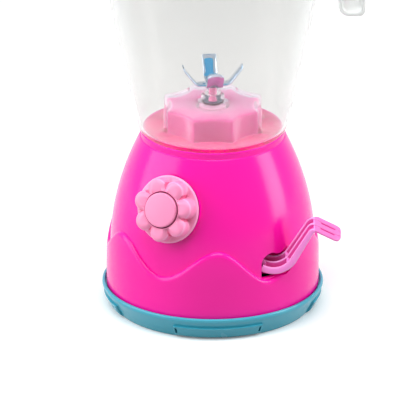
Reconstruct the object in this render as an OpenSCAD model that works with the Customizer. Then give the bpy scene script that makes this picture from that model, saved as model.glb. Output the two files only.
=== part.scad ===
// Hand-pumped toy blender. Millimetres, +Z up, front towards -Y, origin under the body's axis on the floor.

/* [Base dish] */
// Outer radius of the dish's rim
dish_r = 70; // [69:0.5:74]
// Height of the rim above the floor
dish_h = 15.2; // [14:0.2:18]
// Radius of the flat bottom
dish_foot_r = 63.4; // [60:0.2:65]
// Thickness of the dish's wall
dish_wall = 2.4; // [1.8:0.1:3]
// Thickness of the dish's floor
dish_floor = 2.6; // [2:0.1:3.4]
// Half of the angle that one raised clip panel covers
panel_half_angle = 24.5; // [15:0.5:35]
// Turn of the four clip panels from the front
panel_turn = 3; // [-10:1:10]
// Height of the clip panels' upper ledge
panel_h = 8.9; // [7:0.1:10]
// How far the clip panels stand out of the dish
panel_proud = 1.5; // [0.8:0.1:2]

/* [Body shell] */
// Radius of the dome's straight lower part, without the skirt
dome_r = 64.8; // [64.4:0.2:65.6]
// Height at which the dome starts to draw in
dome_straight_h = 38; // [34:1:42]
// Radius of the dome at its shoulder
shoulder_r = 46; // [46:0.2:47.4]
// Height of the flat seat that the jar stands on
seat_h = 117; // [116.4:0.2:118]
// Radius of the flat seat
seat_r = 45.4; // [44.6:0.2:45.6]
// Height of the upright band between the shoulder and the seat
seat_band = 4.4; // [3.6:0.2:5]
// Thickness of the shell's wall
shell_wall = 2.4; // [2:0.1:3]
// How far the wavy skirt stands out of the dome
skirt_proud = 2.4; // [1.6:0.1:2.8]
// Height of the fluted boss above the seat
boss_rise = 15.3; // [14:0.1:17]
// Radius of the boss over its ribs
boss_rib_r = 30.4; // [29.6:0.2:31]
// Radius of the boss at the middle of a flute
boss_flute_r = 25.6; // [25:0.2:26.4]
// Number of flutes round the boss
flutes = 8; // [6:1:9]

/* [Lever] */
// Distance of the lever's pivot to the right of the body's axis
pivot_x = 22; // [21:0.5:23]
// Height of the lever's pivot
pivot_h = 51; // [50:0.25:52]
// Front face of the lever, as a distance in front of the body's axis
lever_front = 55.3; // [54.8:0.1:55.5]
// Width of the lever over its three walls
lever_w = 11; // [10:0.2:11.4]
// Thickness of the lever's walls
lever_wall = 1.9; // [1.6:0.1:2.2]
// How much higher each wall stands than the one in front of it
lever_step = 1.2; // [0.8:0.1:1.5]
// Slope of the lever's straight rise
lever_slope = 59; // [56:1:61]
// Length of the straight rise
lever_rise = 21.6; // [20:0.2:24]
// Fall of the finger pad
pad_fall = 27; // [20:1:35]
// Length of the finger pad
pad_len = 14; // [12:0.5:17]
// Lever travel in degrees
lever_travel = 6.5; // [4:0.5:6.5]

/* [Gears] */
// Tooth module of every gear and rack
tooth_module = 1.5; // [1.5:0.01:1.52]
// Teeth that a full circle of the lever's sector would have
sector_teeth = 38; // [38:1:38]
// Teeth of the small step of the two-step gear
pinion_teeth = 8; // [8:1:8]
// Teeth of the large step of the two-step gear
wheel_teeth = 34; // [33:1:34]
// Teeth of the drive gear
drive_teeth = 12; // [12:1:13]
// Width of the teeth taken off for backlash
backlash = 0.26; // [0.2:0.02:0.3]
// Diameter of the lever pin and of the two-step gear's axle
pin_d = 3; // [2.6:0.1:3.2]
// Diameter of the drive shaft and of the blade spindle
shaft_d = 5; // [4.6:0.1:5.2]

/* [Dial] */
// Azimuth of the dial from the front, to the left
dial_azimuth = 28; // [24:0.1:30]
// Height of the dial's centre on the dome
dial_h = 82.5; // [80:0.5:86]
// Radius of the dial's disc
dial_disc_r = 21.3; // [20.6:0.1:21.6]
// Number of petals
petals = 7; // [5:1:8]
// Radius of one petal
petal_r = 6.7; // [6:0.1:7]
// Distance of the petals' centres from the dial's axis
petal_place_r = 13.6; // [13:0.1:14]
// Height of the petals over the disc
petal_h = 8.6; // [7:0.2:10]
// Radius of the centre cap
cap_r = 10.9; // [10:0.1:11]

/* [Jar] */
// Height of the jar
jar_h = 129; // [120:1:140]
// Outer radius of the jar at its rim
jar_rim_r = 72; // [71:0.5:74]
// How much the jar's radius grows for each millimetre of height
jar_flare = 0.178; // [0.17:0.001:0.186]
// Thickness of the jar's wall
jar_wall = 2; // [1.6:0.1:2.4]
// Width of the handle's leg, seen from the front
handle_leg = 16.5; // [14:0.5:18]
// Depth of the handle from front to back
handle_w = 15; // [12:0.5:18]
// How far the handle reaches out beyond the jar's rim
handle_out = 23; // [21.5:0.5:26]
// How far the handle's free end hangs below the jar's rim
handle_drop = 51.5; // [46:0.5:56]

/* [Blades] */
// Width of a blade strip
blade_w = 9; // [7:0.2:10]
// Thickness of a blade strip
blade_t = 0.9; // [0.7:0.1:1]
// Height of the lower strip over the jar's well
blade_lift = 11.4; // [10:0.2:13]
// Turn of the blades at rest
blade_turn = 7; // [0:1:12]

/* [Lid] */
// Height of the lid's crown over the jar's rim
lid_crown = 7; // [5:0.5:9]
// Thickness of the lid
lid_wall = 2.2; // [1.8:0.1:2.6]
// Radius of the lid's knob
lid_knob_r = 15; // [12:0.5:17]
// Height of the lid's knob
lid_knob_h = 12.9; // [11:0.1:16]

/* [Clearances] */
// Gap round a part that turns in a bore
run_gap = 0.06; // [0.04:0.01:0.08]
// Gap round a part that is held in a bore
hold_gap = 0.02; // [0.01:0.01:0.03]
// Gap between a sliding or loose part and its neighbour
slide_gap = 0.3; // [0.2:0.05:0.4]
// Gap between the boss and the jar's well
well_gap = 0.5; // [0.4:0.05:0.7]

/* [Hidden] */

pink = [1, 0.15, 0.67];
light_pink = [1, 0.55, 0.8];
teal = [0.29, 0.69, 0.76];
steel = [0.72, 0.75, 0.8];
nylon = [0.93, 0.93, 0.9];
clear = [0.9, 0.93, 0.95, 0.4];
smooth = 160;
round_fine = 64;
round_small = 40;

// Levels up the body
shell_foot_h = 12.6;
rim_lip = dish_h - shell_foot_h;
shoulder_h = seat_h - seat_band;
skirt_r = dome_r + skirt_proud;
rim_in_r = skirt_r + 0.35;
dome_bow = (dome_r - shoulder_r) / pow(shoulder_h - dome_straight_h, 2);
boss_top = seat_h + boss_rise;
well_top_in = boss_top + well_gap + 0.2;
well_wall = 1.9;
well_top = well_top_in + well_wall;

// Gears
pressure_angle = 28;
addendum = 0.8 * tooth_module;
dedendum = 1.05 * tooth_module;
tooth_pitch = PI * tooth_module;
sector_r = sector_teeth * tooth_module / 2;
pinion_r = pinion_teeth * tooth_module / 2;
wheel_r = wheel_teeth * tooth_module / 2;
drive_r = drive_teeth * tooth_module / 2;
axle_y = -(wheel_r + drive_r);
rack_line_h = pivot_h - sector_r;
rack_line_y = axle_y - pinion_r;
wheel_z = 8;
wheel_t = 4;
plate_z = 12.8;
plate_t = 2;
plate_top = plate_z + plate_t;
bar_z = plate_top + slide_gap;
bar_top = rack_line_h - dedendum;
bar_front = rack_line_y - dedendum - 7.9;
bar_back = rack_line_y - dedendum;
bar_left = -21;
bar_right = pivot_x + 14.5;
bar_travel = sector_r * lever_travel * PI / 180;
arch_z = bar_top + addendum + dedendum - 0.2;
arch_t = 2.2;
pin_r = pin_d / 2;
shaft_r = shaft_d / 2;

// Lever, across its width
lever_back = lever_front - lever_w;
hub_r = 5.4;
hub_front = -bar_front + 1.6;
hub_back = -bar_back + 0.1;
ear_t = 2.7;
sector_t = 5.5;
sector_front = hub_front - 1.5;

// Screw places: posts between dish and shell, and posts under the gear plate
case_post_places = [[45.8, -28.6], [-45.8, -28.6], [38.2, 38.2], [-38.2, 38.2]];
plate_post_places = [[31, -33], [-31, -33], [18, 14], [-18, 14]];
case_screw_r = 1.45;
case_head_r = 3.3;
case_head_z = 4.6;
case_head_t = 2.2;
case_post_r = 4.4;
plate_screw_r = 1.2;
plate_post_r = 3.3;
post_h = 40;

// Couplers, under the jar's well
pocket_r = 11;
pocket_floor_t = 2.5;
coupler_r = 9;
coupler_t = 3;
dog_h = 3.4;
dog_in_r = 4;
dogs = 4;
dog_angle = 40;
driven_top = well_top_in - 0.9;
driven_z = driven_top - coupler_t;
drive_coupler_z = driven_z - dog_h - 0.3 - coupler_t;
pocket_floor = drive_coupler_z - 0.9;
collar_r = 7.25;
collar_h = 5.4;
collar_neck_r = 4;

// Blades
blade_z = well_top + blade_lift;
blade_flat = 8;
blade_bend_r = 5;
blade_bend = 52;
blade_straight = 9.5;
tip_bend_r = 6;
tip_bend = 85;

// Jar and lid
jar_top = seat_h + jar_h;
jar_curl_from = 77;
jar_curl_r = 1041;
jar_foot_round = 3.6;
rim_bead = 1.2;
rim_bead_h = 3;
lid_over = 1.4;
lid_plug = 6;
lid_seat_r = 18;

// Dial
dial_r_at = dome_at(dial_h);
dial_tilt = atan(2 * dome_bow * (dial_h - dome_straight_h));
seat_sink = 1.5;
dial_gap = 0.4;
disc_t = 3.3;
dial_shaft_r = 4;
dial_wall = shell_wall + 2.1;
cap_sink = 1.6;
cap_t = 3.6;
dial_back = -seat_sink - dial_wall;

// Wavy skirt: azimuth of each crest and trough from the front, to the right, and its height
wave = [[-119, 59], [-91, 40], [-61, 58.5], [-24, 43.2], [1, 61.2], [33, 36.6], [63, 60], [92, 42], [121, 59],
    [151, 42], [181, 59], [211, 41], [241, 59]];

function dome_at(z) = dome_r - dome_bow * pow(max(0, z - dome_straight_h), 2);
function spread(a, b, n) = [for (i = [0:n]) a + (b - a) * i / n];
function arc(c, r, a, b, n) = [for (t = spread(a, b, n)) [c[0] + r * cos(t), c[1] + r * sin(t)]];
function reversed(v) = [for (i = [len(v) - 1:-1:0]) v[i]];
function dist(a, b) = norm(b - a);

// ---- Gear teeth -------------------------------------------------------------------------------------------

function involute(a) = tan(a) * 180 / PI - a;
function half_tooth(n, r, rho) =
    let (base_r = r * cos(pressure_angle))
    (tooth_pitch - backlash) / 4 / r * 180 / PI + involute(pressure_angle)
        - involute(acos(min(1, base_r / max(rho, base_r))));
// One tooth's outline, centred on angle a, from its left root to its right root
function tooth(n, a) =
    let (r = n * tooth_module / 2, root = r - dedendum, tip = r + addendum,
        start = max(root, r * cos(pressure_angle)),
        radii = concat([root], spread(start + 0.01, tip, 5)))
    concat([for (q = radii) let (h = half_tooth(n, r, q)) [q * cos(a - h), q * sin(a - h)]],
        [for (q = reversed(radii)) let (h = half_tooth(n, r, q)) [q * cos(a + h), q * sin(a + h)]]);
function gear_outline(n, first) = [for (i = [0:n - 1]) each tooth(n, first + i * 360 / n)];
// A rack tooth that points up, centred on x
function rack_tooth(x) =
    let (half = (tooth_pitch - backlash) / 4 + 0, lean = tan(pressure_angle))
    [[x - half - dedendum * lean, -dedendum], [x - half + addendum * lean, addendum],
        [x + half - addendum * lean, addendum], [x + half + dedendum * lean, -dedendum]];

module rack_teeth(first, last) {
    for (i = [first:last])
        polygon(rack_tooth((i + 0.5) * tooth_pitch));
}

// ---- Helpers ----------------------------------------------------------------------------------------------

// Extrudes an outline drawn in X and Z from y to y + t
module in_xz(y, t) {
    translate([0, y + t, 0])
        rotate([90, 0, 0])
            linear_extrude(t)
                children();
}

module wedge(half_angle, r) {
    polygon([[0, 0], [r * sin(-half_angle), -r * cos(half_angle)], [0, -r * 1.3],
        [r * sin(half_angle), -r * cos(half_angle)]]);
}

module at_front(azimuth) {
    rotate([0, 0, azimuth])
        children();
}

// The fluted outline, moved outwards by grow
module fluted(grow) {
    rib = boss_rib_r + 0.8;
    half_chord = rib * sin(180 / flutes);
    sag = rib * cos(180 / flutes) - boss_flute_r;
    flute_r = (half_chord * half_chord + sag * sag) / (2 * sag);
    difference() {
        circle(boss_rib_r + grow, $fn = smooth);
        for (i = [0:flutes - 1])
            rotate(-90 + i * 360 / flutes)
                translate([boss_flute_r + flute_r, 0])
                    circle(flute_r - grow, $fn = smooth);
    }
}

module ring(r_out, r_in, z, h) {
    translate([0, 0, z])
        difference() {
            cylinder(r = r_out, h = h, $fn = round_fine);
            translate([0, 0, -1])
                cylinder(r = r_in, h = h + 2, $fn = round_fine);
        }
}

// ---- Base dish --------------------------------------------------------------------------------------------

function dish_at(z) = dish_foot_r + (dish_r - 0.6 - dish_foot_r) * (z - 0.8) / (dish_h - 3.2 - 0.8);

module dish_profile() {
    polygon([[0, 0], [dish_foot_r - 0.9, 0], [dish_foot_r, 0.8],
        [dish_r - 0.6, dish_h - 3.2], [dish_r - 0.1, dish_h - 2.4], [dish_r, dish_h - 1.4],
        [dish_r - 0.15, dish_h - 0.6], [dish_r - 0.7, dish_h], [rim_in_r, dish_h],
        [rim_in_r, shell_foot_h], [dish_at(shell_foot_h) - dish_wall - 2.6, shell_foot_h],
        [dish_at(10) - dish_wall - 1.8, 10], [dish_at(4.6) - dish_wall, 4.6],
        [dish_foot_r - dish_wall - 1.2, dish_floor], [0, dish_floor]]);
}

module clip_panels() {
    for (i = [0:3])
        at_front(panel_turn + i * 90)
            difference() {
                intersection() {
                    rotate_extrude($fn = smooth)
                        polygon([[dish_foot_r - 0.6, 0.5], [dish_foot_r + panel_proud, 0.9],
                            [dish_at(panel_h) + panel_proud - 0.2, panel_h - 0.4],
                            [dish_at(panel_h) + panel_proud - 0.5, panel_h],
                            [dish_at(panel_h) - 0.6, panel_h]]);
                    linear_extrude(dish_h)
                        wedge(panel_half_angle, dish_r + 8);
                }
                for (side = [-1, 1])
                    rotate([0, 0, side * (panel_half_angle - 1.2)])
                        translate([-0.45, -dish_r - 3, 4.6])
                            cube([0.9, 5.5, 3.4]);
            }
}

module base_dish() {
    color(teal)
        difference() {
            union() {
                rotate_extrude($fn = smooth)
                    dish_profile();
                clip_panels();
                for (p = case_post_places)
                    translate([p[0], p[1], 1])
                        cylinder(r = case_post_r + 0.8, h = shell_foot_h - 1, $fn = round_small);
                for (p = plate_post_places)
                    translate([p[0], p[1], 1])
                        cylinder(r = plate_post_r, h = plate_z - 1, $fn = round_small);
                translate([0, axle_y, 1])
                    cylinder(r = 5, h = wheel_z - 0.4 - 1, $fn = round_small);
                translate([0, 0, 1])
                    cylinder(r = 6, h = wheel_z - 1.5 - 1, $fn = round_small);
            }
            for (p = case_post_places)
                translate([p[0], p[1], 0]) {
                    translate([0, 0, -1])
                        cylinder(r = case_head_r + 0.4, h = case_head_z + case_head_t + 1, $fn = round_small);
                    cylinder(r = case_screw_r + 0.3, h = 30, $fn = round_small);
                }
            for (p = plate_post_places)
                translate([p[0], p[1], dish_floor + 1])
                    cylinder(r = plate_screw_r + hold_gap, h = 30, $fn = round_small);
            translate([0, axle_y, dish_floor])
                cylinder(r = pin_r + hold_gap, h = 30, $fn = round_small);
            translate([0, 0, dish_floor])
                cylinder(r = shaft_r + run_gap, h = 30, $fn = round_small);
        }
}

module case_screws() {
    color(steel)
        for (p = case_post_places)
            translate([p[0], p[1], case_head_z])
                difference() {
                    union() {
                        cylinder(r = case_head_r, h = case_head_t, $fn = round_small);
                        cylinder(r = case_screw_r, h = case_head_t + 18, $fn = round_small);
                    }
                    for (turn = [0, 90])
                        rotate([0, 0, turn])
                            translate([-2.2, -0.45, -0.1])
                                cube([4.4, 0.9, 1.3]);
                }
}

// ---- Body shell -------------------------------------------------------------------------------------------

module dome_outline() {
    polygon(concat([[0, shell_foot_h], [dome_r, shell_foot_h]],
        [for (z = spread(dome_straight_h, shoulder_h, 20)) [dome_at(z), z]],
        [[seat_r, shoulder_h + 0.6], [seat_r, seat_h], [0, seat_h]]));
}

module dome_hollow() {
    top = seat_h - shell_wall;
    polygon(concat([[0, shell_foot_h - 1], [dome_r - shell_wall, shell_foot_h - 1]],
        [for (z = spread(dome_straight_h, shoulder_h - 3, 14)) [dome_at(z) - shell_wall, z]],
        [[seat_r - shell_wall, top], [0, top]]));
}

// What is cut from the skirt between two crests, seen along the trough's own direction
function trough_outline(i) =
    let (left = wave[i - 1], mid = wave[i], right = wave[i + 1], n = 10,
        down = [for (t = spread(0, 1, n)) [left[0] + (mid[0] - left[0]) * t,
            left[1] + (mid[1] - left[1]) * (1 - cos(180 * t)) / 2]],
        up = [for (t = spread(1 / n, 1, n - 1)) [mid[0] + (right[0] - mid[0]) * t,
            mid[1] + (right[1] - mid[1]) * (1 - cos(180 * t)) / 2]],
        line = [for (p = concat(down, up)) [skirt_r * sin(p[0] - mid[0]), p[1]]],
        last = len(line) - 1)
    concat([[line[0][0] - 3, skirt_top + 3], [line[0][0] - 3, line[0][1] + 0.1]], line,
        [[line[last][0] + 3, line[last][1] + 0.1], [line[last][0] + 3, skirt_top + 3]]);

skirt_top = 63;

module skirt() {
    difference() {
        rotate_extrude($fn = smooth)
            polygon([[dome_r - 1.2, shell_foot_h], [skirt_r, shell_foot_h], [skirt_r, dome_straight_h],
                [dome_at(46.3) + skirt_proud, 46.3],
                [dome_at(skirt_top) + skirt_proud, skirt_top], [dome_at(skirt_top) - 1.2, skirt_top],
                [dome_at(44) - 1.2, 44]]);
        for (i = [1:2:len(wave) - 2])
            at_front(wave[i][0])
                in_xz(-90, 66)
                    polygon(trough_outline(i));
        on_dial()
            translate([0, 0, -9])
                cylinder(r = dial_disc_r + 2, h = 20, $fn = smooth);
    }
}

// Window for the lever, drawn in X and Z
window_left = pivot_x + 8.5;
window_low = pivot_h - 13.1;
window_y = -lever_back + 0.7;

module window_outline() {
    polygon(concat([[window_left, window_low]],
        reversed(arc([window_left + 6.6, pivot_h - 3.4], 6.6, 95, 180, 8)),
        [[pivot_x + 20, pivot_h + 2.4], [pivot_x + 25.2, pivot_h + 7.6], [pivot_x + 31, pivot_h + 8.5],
            [pivot_x + 31, pivot_h - 8], [pivot_x + 24, window_low - 0.2]]));
}

module on_dial() {
    rotate([0, 0, -dial_azimuth])
        translate([0, -dial_r_at, dial_h])
            rotate([90 - dial_tilt, 0, 0])
                children();
}

module shell_posts() {
    for (p = case_post_places) {
        translate([p[0], p[1], shell_foot_h])
            cylinder(r = case_post_r, h = post_h - shell_foot_h, $fn = round_small);
        rotate([0, 0, atan2(p[1], p[0])])
            translate([norm(p) + case_post_r - 1.3, -1, shell_foot_h + 1])
                cube([dome_r - shell_wall - norm(p) - case_post_r + 2.3, 2, post_h - shell_foot_h - 2]);
    }
}

module body_shell() {
    color(pink)
        difference() {
            union() {
                difference() {
                    union() {
                        rotate_extrude($fn = smooth)
                            dome_outline();
                        skirt();
                    }
                    rotate_extrude($fn = smooth)
                        dome_hollow();
                }
                translate([0, 0, seat_h - 1])
                    linear_extrude(boss_top - seat_h + 1)
                        fluted(0);
                intersection() {
                    on_dial()
                        translate([0, 0, dial_back])
                            cylinder(r = dial_disc_r + 0.9, h = dial_wall, $fn = smooth);
                    translate([0, 0, dial_h])
                        sphere(r = dial_r_at + 14, $fn = round_fine);
                }
                shell_posts();
            }
            difference() {
                translate([0, 0, seat_h - shell_wall - 1])
                    linear_extrude(boss_top - 2.2 - seat_h + shell_wall + 1)
                        fluted(-2.2);
                translate([0, 0, pocket_floor - pocket_floor_t])
                    cylinder(r = pocket_r + 2, h = boss_top, $fn = round_fine);
            }
            translate([0, 0, pocket_floor])
                cylinder(r = pocket_r, h = boss_top, $fn = round_fine);
            translate([0, 0, seat_h - shell_wall - 1])
                cylinder(r = collar_neck_r + hold_gap, h = boss_top, $fn = round_small);
            in_xz(-90, 90 + window_y)
                window_outline();
            // Room for the lever's inner end behind the window's left edge
            in_xz(-lever_front - 0.6, lever_front + 0.6 + window_y)
                translate([window_left - 3.4, window_low + 0.6])
                    square([6, 11]);
            on_dial() {
                translate([0, 0, -seat_sink])
                    cylinder(r = dial_disc_r + 1.2, h = 20, $fn = smooth);
                translate([0, 0, -30])
                    cylinder(r = dial_shaft_r + run_gap, h = 40, $fn = round_small);
            }
            for (p = case_post_places)
                translate([p[0], p[1], shell_foot_h - 1])
                    cylinder(r = case_screw_r + hold_gap, h = 14, $fn = round_small);
        }
}

module shaft_bush() {
    color(nylon)
        difference() {
            union() {
                translate([0, 0, pocket_floor - pocket_floor_t])
                    cylinder(r = collar_neck_r, h = pocket_floor_t + 0.1, $fn = round_small);
                translate([0, 0, pocket_floor])
                    cylinder(r = collar_neck_r + 1.6, h = 0.6, $fn = round_small);
            }
            translate([0, 0, pocket_floor - pocket_floor_t - 1])
                cylinder(r = shaft_r + run_gap, h = 10, $fn = round_small);
        }
}

// ---- Gear train -------------------------------------------------------------------------------------------

module ear(y) {
    difference() {
        union() {
            in_xz(y, ear_t)
                polygon([[pivot_x - 6, plate_top - 1], [pivot_x + 6, plate_top - 1],
                    [pivot_x + 4.5, pivot_h], [pivot_x - 4.5, pivot_h]]);
            translate([pivot_x, y + ear_t, pivot_h])
                rotate([90, 0, 0])
                    cylinder(r = 4.5, h = ear_t, $fn = round_small);
        }
        translate([pivot_x, y + ear_t + 1, pivot_h])
            rotate([90, 0, 0])
                cylinder(r = pin_r + hold_gap, h = ear_t + 2, $fn = round_small);
    }
}

module gear_plate() {
    front_ear = -hub_front - slide_gap - ear_t;
    back_ear = -hub_back + slide_gap;
    post_left = bar_left - 17.5;
    color(nylon) {
        difference() {
            translate([0, 0, plate_z])
                linear_extrude(plate_t)
                    difference() {
                        intersection() {
                            circle(dome_r - shell_wall - 0.4, $fn = smooth);
                            union() {
                            translate([post_left, bar_front - 2.2])
                                square([36 - post_left, 25]);
                            translate([-24, -32])
                                square([48, 51]);
                            translate([pivot_x - 7, front_ear - 0.3])
                                square([14, 6]);
                            }
                        }
                        translate([0, axle_y])
                            circle(pinion_r + addendum + 1, $fn = round_fine);
                        circle(shaft_r + run_gap, $fn = round_small);
                        for (p = plate_post_places)
                            translate(p)
                                circle(plate_screw_r + 0.2, $fn = round_small);
                    }
        }
        ear(front_ear);
        ear(back_ear);
        // Front guide rib and the guide loop over the bar's left end
        translate([bar_left + 2, bar_front - slide_gap - 1.8, plate_top - 1])
            cube([pivot_x + 10 - bar_left - 2, 1.8, 5.4]);
        in_yz_loop();
        // Stop with a spigot for the return spring
        translate([post_left, bar_front + 1.8, plate_top - 1])
            cube([2.5, 5.6, bar_top - plate_top + 1.6]);
        translate([post_left + 2, spring_y, spring_z])
            rotate([0, 90, 0])
                cylinder(r = 1.5, h = 3, $fn = round_small);
        gear_arch();
    }
}

module in_yz_loop() {
    loop_x = bar_left + 2;
    loop_w = 4;
    translate([loop_x, bar_back + slide_gap, plate_top - 1])
        cube([loop_w, 1.8, bar_top - plate_top + 1 + slide_gap + 0.1]);
    translate([loop_x, bar_front - slide_gap - 1.8, plate_top - 1])
        cube([loop_w, 1.8, bar_top - plate_top + 1 + slide_gap + 0.1]);
    translate([loop_x, bar_front - slide_gap - 1.8, bar_top + slide_gap])
        cube([loop_w, bar_back - bar_front + 2 * slide_gap + 3.6, 1.6]);
}

module gear_arch() {
    leg_in = pinion_r + addendum + 1.6;
    difference() {
        union() {
            for (side = [-1, 1])
                translate([side * (leg_in + 1.1) - 1.1, axle_y - 3.5, plate_top - 1])
                    cube([2.2, 7, arch_z - plate_top + 1.2]);
            translate([-leg_in - 2.2, axle_y - 3.5, arch_z])
                cube([2 * leg_in + 4.4, 7, arch_t]);
        }
        translate([0, axle_y, arch_z - 1])
            cylinder(r = pin_r + hold_gap, h = arch_t + 2, $fn = round_small);
    }
}

module plate_screws() {
    color(steel)
        for (p = plate_post_places)
            translate([p[0], p[1], 0]) {
                translate([0, 0, plate_top])
                    cylinder(r = 2.5, h = 1.7, $fn = round_small);
                translate([0, 0, dish_floor + 1.4])
                    cylinder(r = plate_screw_r, h = plate_top - dish_floor - 1.3, $fn = round_small);
            }
}

module lever_pin() {
    color(steel)
        translate([pivot_x, -hub_back + slide_gap + ear_t, pivot_h])
            rotate([90, 0, 0])
                cylinder(r = pin_r, h = hub_front - hub_back + 2 * slide_gap + 2 * ear_t, $fn = round_small);
}

module gear_axle() {
    color(steel)
        translate([0, axle_y, dish_floor + 0.2])
            cylinder(r = pin_r, h = arch_z + arch_t - dish_floor - 0.4, $fn = round_small);
}

module rack_bar() {
    color(nylon) {
        translate([bar_left, bar_front, bar_z])
            cube([bar_right - bar_left, bar_back - bar_front, bar_top - bar_z + 0.01]);
        translate([pivot_x, 0, rack_line_h])
            in_xz(-sector_front - 0.3, sector_t + 0.6)
                rack_teeth(-2, 2);
        translate([0, rack_line_y, bar_z])
            linear_extrude(bar_top - bar_z)
                rack_teeth(-2, 2);
        translate([bar_left - 2.4, spring_y, spring_z])
            rotate([0, 90, 0])
                cylinder(r = 1.5, h = 3, $fn = round_small);
    }
}

module two_step_gear() {
    color(nylon)
        translate([0, axle_y, wheel_z])
            difference() {
                union() {
                    linear_extrude(wheel_t)
                        polygon(gear_outline(wheel_teeth, 90));
                    linear_extrude(arch_z - wheel_z - 0.4)
                        polygon(gear_outline(pinion_teeth, -90));
                }
                translate([0, 0, -1])
                    cylinder(r = pin_r + run_gap, h = 40, $fn = round_small);
                for (i = [0:4])
                    rotate([0, 0, i * 72])
                        translate([(pinion_r + wheel_r) / 2, 0, -1])
                            cylinder(r = 4.2, h = wheel_t + 2, $fn = round_small);
            }
}

module drive_gear() {
    color(nylon)
        translate([0, 0, wheel_z - 0.7])
            difference() {
                union() {
                    linear_extrude(wheel_t + 0.9)
                        polygon(gear_outline(drive_teeth, -90 + 180 / drive_teeth));
                    cylinder(r = 5, h = plate_z - wheel_z + 0.7 - 0.3, $fn = round_small);
                }
                translate([0, 0, -1])
                    cylinder(r = shaft_r + hold_gap, h = 20, $fn = round_small);
            }
}

module drive_shaft() {
    color(steel)
        translate([0, 0, dish_floor + 0.2])
            cylinder(r = shaft_r, h = drive_coupler_z + coupler_t - dish_floor - 0.3, $fn = round_small);
}

module shaft_clip() {
    color(steel)
        translate([0, 0, plate_top + 0.3])
            linear_extrude(0.8)
                difference() {
                    circle(shaft_r + 2.2, $fn = round_small);
                    circle(shaft_r + hold_gap, $fn = round_small);
                    translate([-1.5, 0])
                        square([3, 10]);
                }
}

module coupler(first) {
    translate([0, 0, 0])
        cylinder(r = coupler_r, h = coupler_t, $fn = round_fine);
    for (i = [0:dogs - 1])
        translate([0, 0, coupler_t - 0.5])
            linear_extrude(dog_h + 0.5)
                intersection() {
                    difference() {
                        circle(coupler_r, $fn = round_fine);
                        circle(dog_in_r, $fn = round_fine);
                    }
                    rotate(first + i * 360 / dogs)
                        wedge(dog_angle / 2, coupler_r * 1.5);
                }
}

module drive_coupler() {
    color(light_pink)
        translate([0, 0, drive_coupler_z])
            difference() {
                coupler(68);
                translate([0, 0, -1])
                    cylinder(r = shaft_r + hold_gap, h = 20, $fn = round_small);
            }
}

// ---- Return spring: one wire, its gap to itself printed -----------------------------------------------------

spring_y = bar_front + 4.2;
spring_z = (bar_z + bar_top) / 2 - 0.1;
spring_r = 2.4;
wire_r = 0.35;
spring_curls = 7;
curl_rings = 8;
wire_sides = 6;
spring_from = bar_left - 15 + slide_gap + wire_r;
spring_to = bar_left - slide_gap - wire_r;
spring_path = [for (i = [0:spring_curls * curl_rings])
    let (t = i / curl_rings, a = 360 * t)
    [spring_from + (spring_to - spring_from) * t / spring_curls, spring_y + spring_r * cos(a),
        spring_z + spring_r * sin(a)]];
spring_gap = min([for (i = [0:len(spring_path) - 1]) for (j = [i + curl_rings - 2:1:len(spring_path) - 1])
    dist(spring_path[i], spring_path[j])]) - 2 * wire_r;
echo(least_gap_of_the_spring_to_itself = spring_gap);

// A closed tube of triangles along a path that runs roughly along X
module wire_tube(path, r, sides) {
    n = len(path);
    along = [for (i = [0:n - 1]) let (d = path[min(i + 1, n - 1)] - path[max(i - 1, 0)]) d / norm(d)];
    side = [for (d = along) let (c = cross(d, [1, 0, 0])) c / norm(c)];
    up = [for (i = [0:n - 1]) cross(along[i], side[i])];
    points = [for (i = [0:n - 1]) for (k = [0:sides - 1])
        path[i] + r * (cos(360 * k / sides) * side[i] + sin(360 * k / sides) * up[i])];
    walls = [for (i = [0:n - 2]) for (k = [0:sides - 1])
        let (a = i * sides + k, b = i * sides + (k + 1) % sides)
        each [[a, b, a + sides], [b, b + sides, a + sides]]];
    caps = [for (k = [1:sides - 2]) each [[0, k + 1, k],
        [(n - 1) * sides, (n - 1) * sides + k, (n - 1) * sides + k + 1]]];
    polyhedron(concat(points), concat(walls, caps), convexity = 6);
}

module return_spring() {
    color(steel)
        wire_tube(spring_path, wire_r, wire_sides);
}

// ---- Lever ------------------------------------------------------------------------------------------------

// Half of the lever's depth along its way, from root to pad
root_half = 3.2;
rise_half = 2.5;
pad_half = 1.9;
curve_r = 13.3;
curve_at = [16, 5.5];
bend_r = 4;
curve_end = curve_at + curve_r * [sin(lever_slope), -cos(lever_slope)];
rise_end = curve_end + lever_rise * [cos(lever_slope), sin(lever_slope)];
bend_at = rise_end + bend_r * [sin(lever_slope), -cos(lever_slope)];
pad_start = bend_at + bend_r * [sin(pad_fall), cos(pad_fall)];
pad_end = pad_start + pad_len * [cos(pad_fall), -sin(pad_fall)];
// Each row: x, z, direction, half depth, all from the pivot
lever_way = concat(
    [for (a = spread(-130, lever_slope - 90, 14)) [curve_at[0] + curve_r * cos(a),
        curve_at[1] + curve_r * sin(a), a + 90, root_half]],
    [for (t = spread(0.25, 1, 3)) let (p = curve_end + t * (rise_end - curve_end))
        [p[0], p[1], lever_slope, root_half + (rise_half - root_half) * t]],
    [for (a = spread(lever_slope + 80, 90 - pad_fall, 7)) [bend_at[0] + bend_r * cos(a),
        bend_at[1] + bend_r * sin(a), a - 90, rise_half + (pad_half - rise_half)
            * (lever_slope + 90 - a) / (lever_slope + pad_fall)]],
    [[pad_end[0], pad_end[1], -pad_fall, pad_half]]);

// A band along the lever's way between two depths, -1 at the underside and 1 at the top; trim thins it
function band(low, high, trim, first, last) =
    concat([for (i = [first:last]) let (w = lever_way[i], q = low * w[3] + trim[0])
            [w[0] - q * sin(w[2]), w[1] + q * cos(w[2])]],
        [for (i = [last:-1:first]) let (w = lever_way[i], q = high * w[3] + trim[1])
            [w[0] - q * sin(w[2]), w[1] + q * cos(w[2])]]);

way_last = len(lever_way) - 1;
bend_first = 18;
web_t = 1.5;
rib_t = 1.7;

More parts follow.
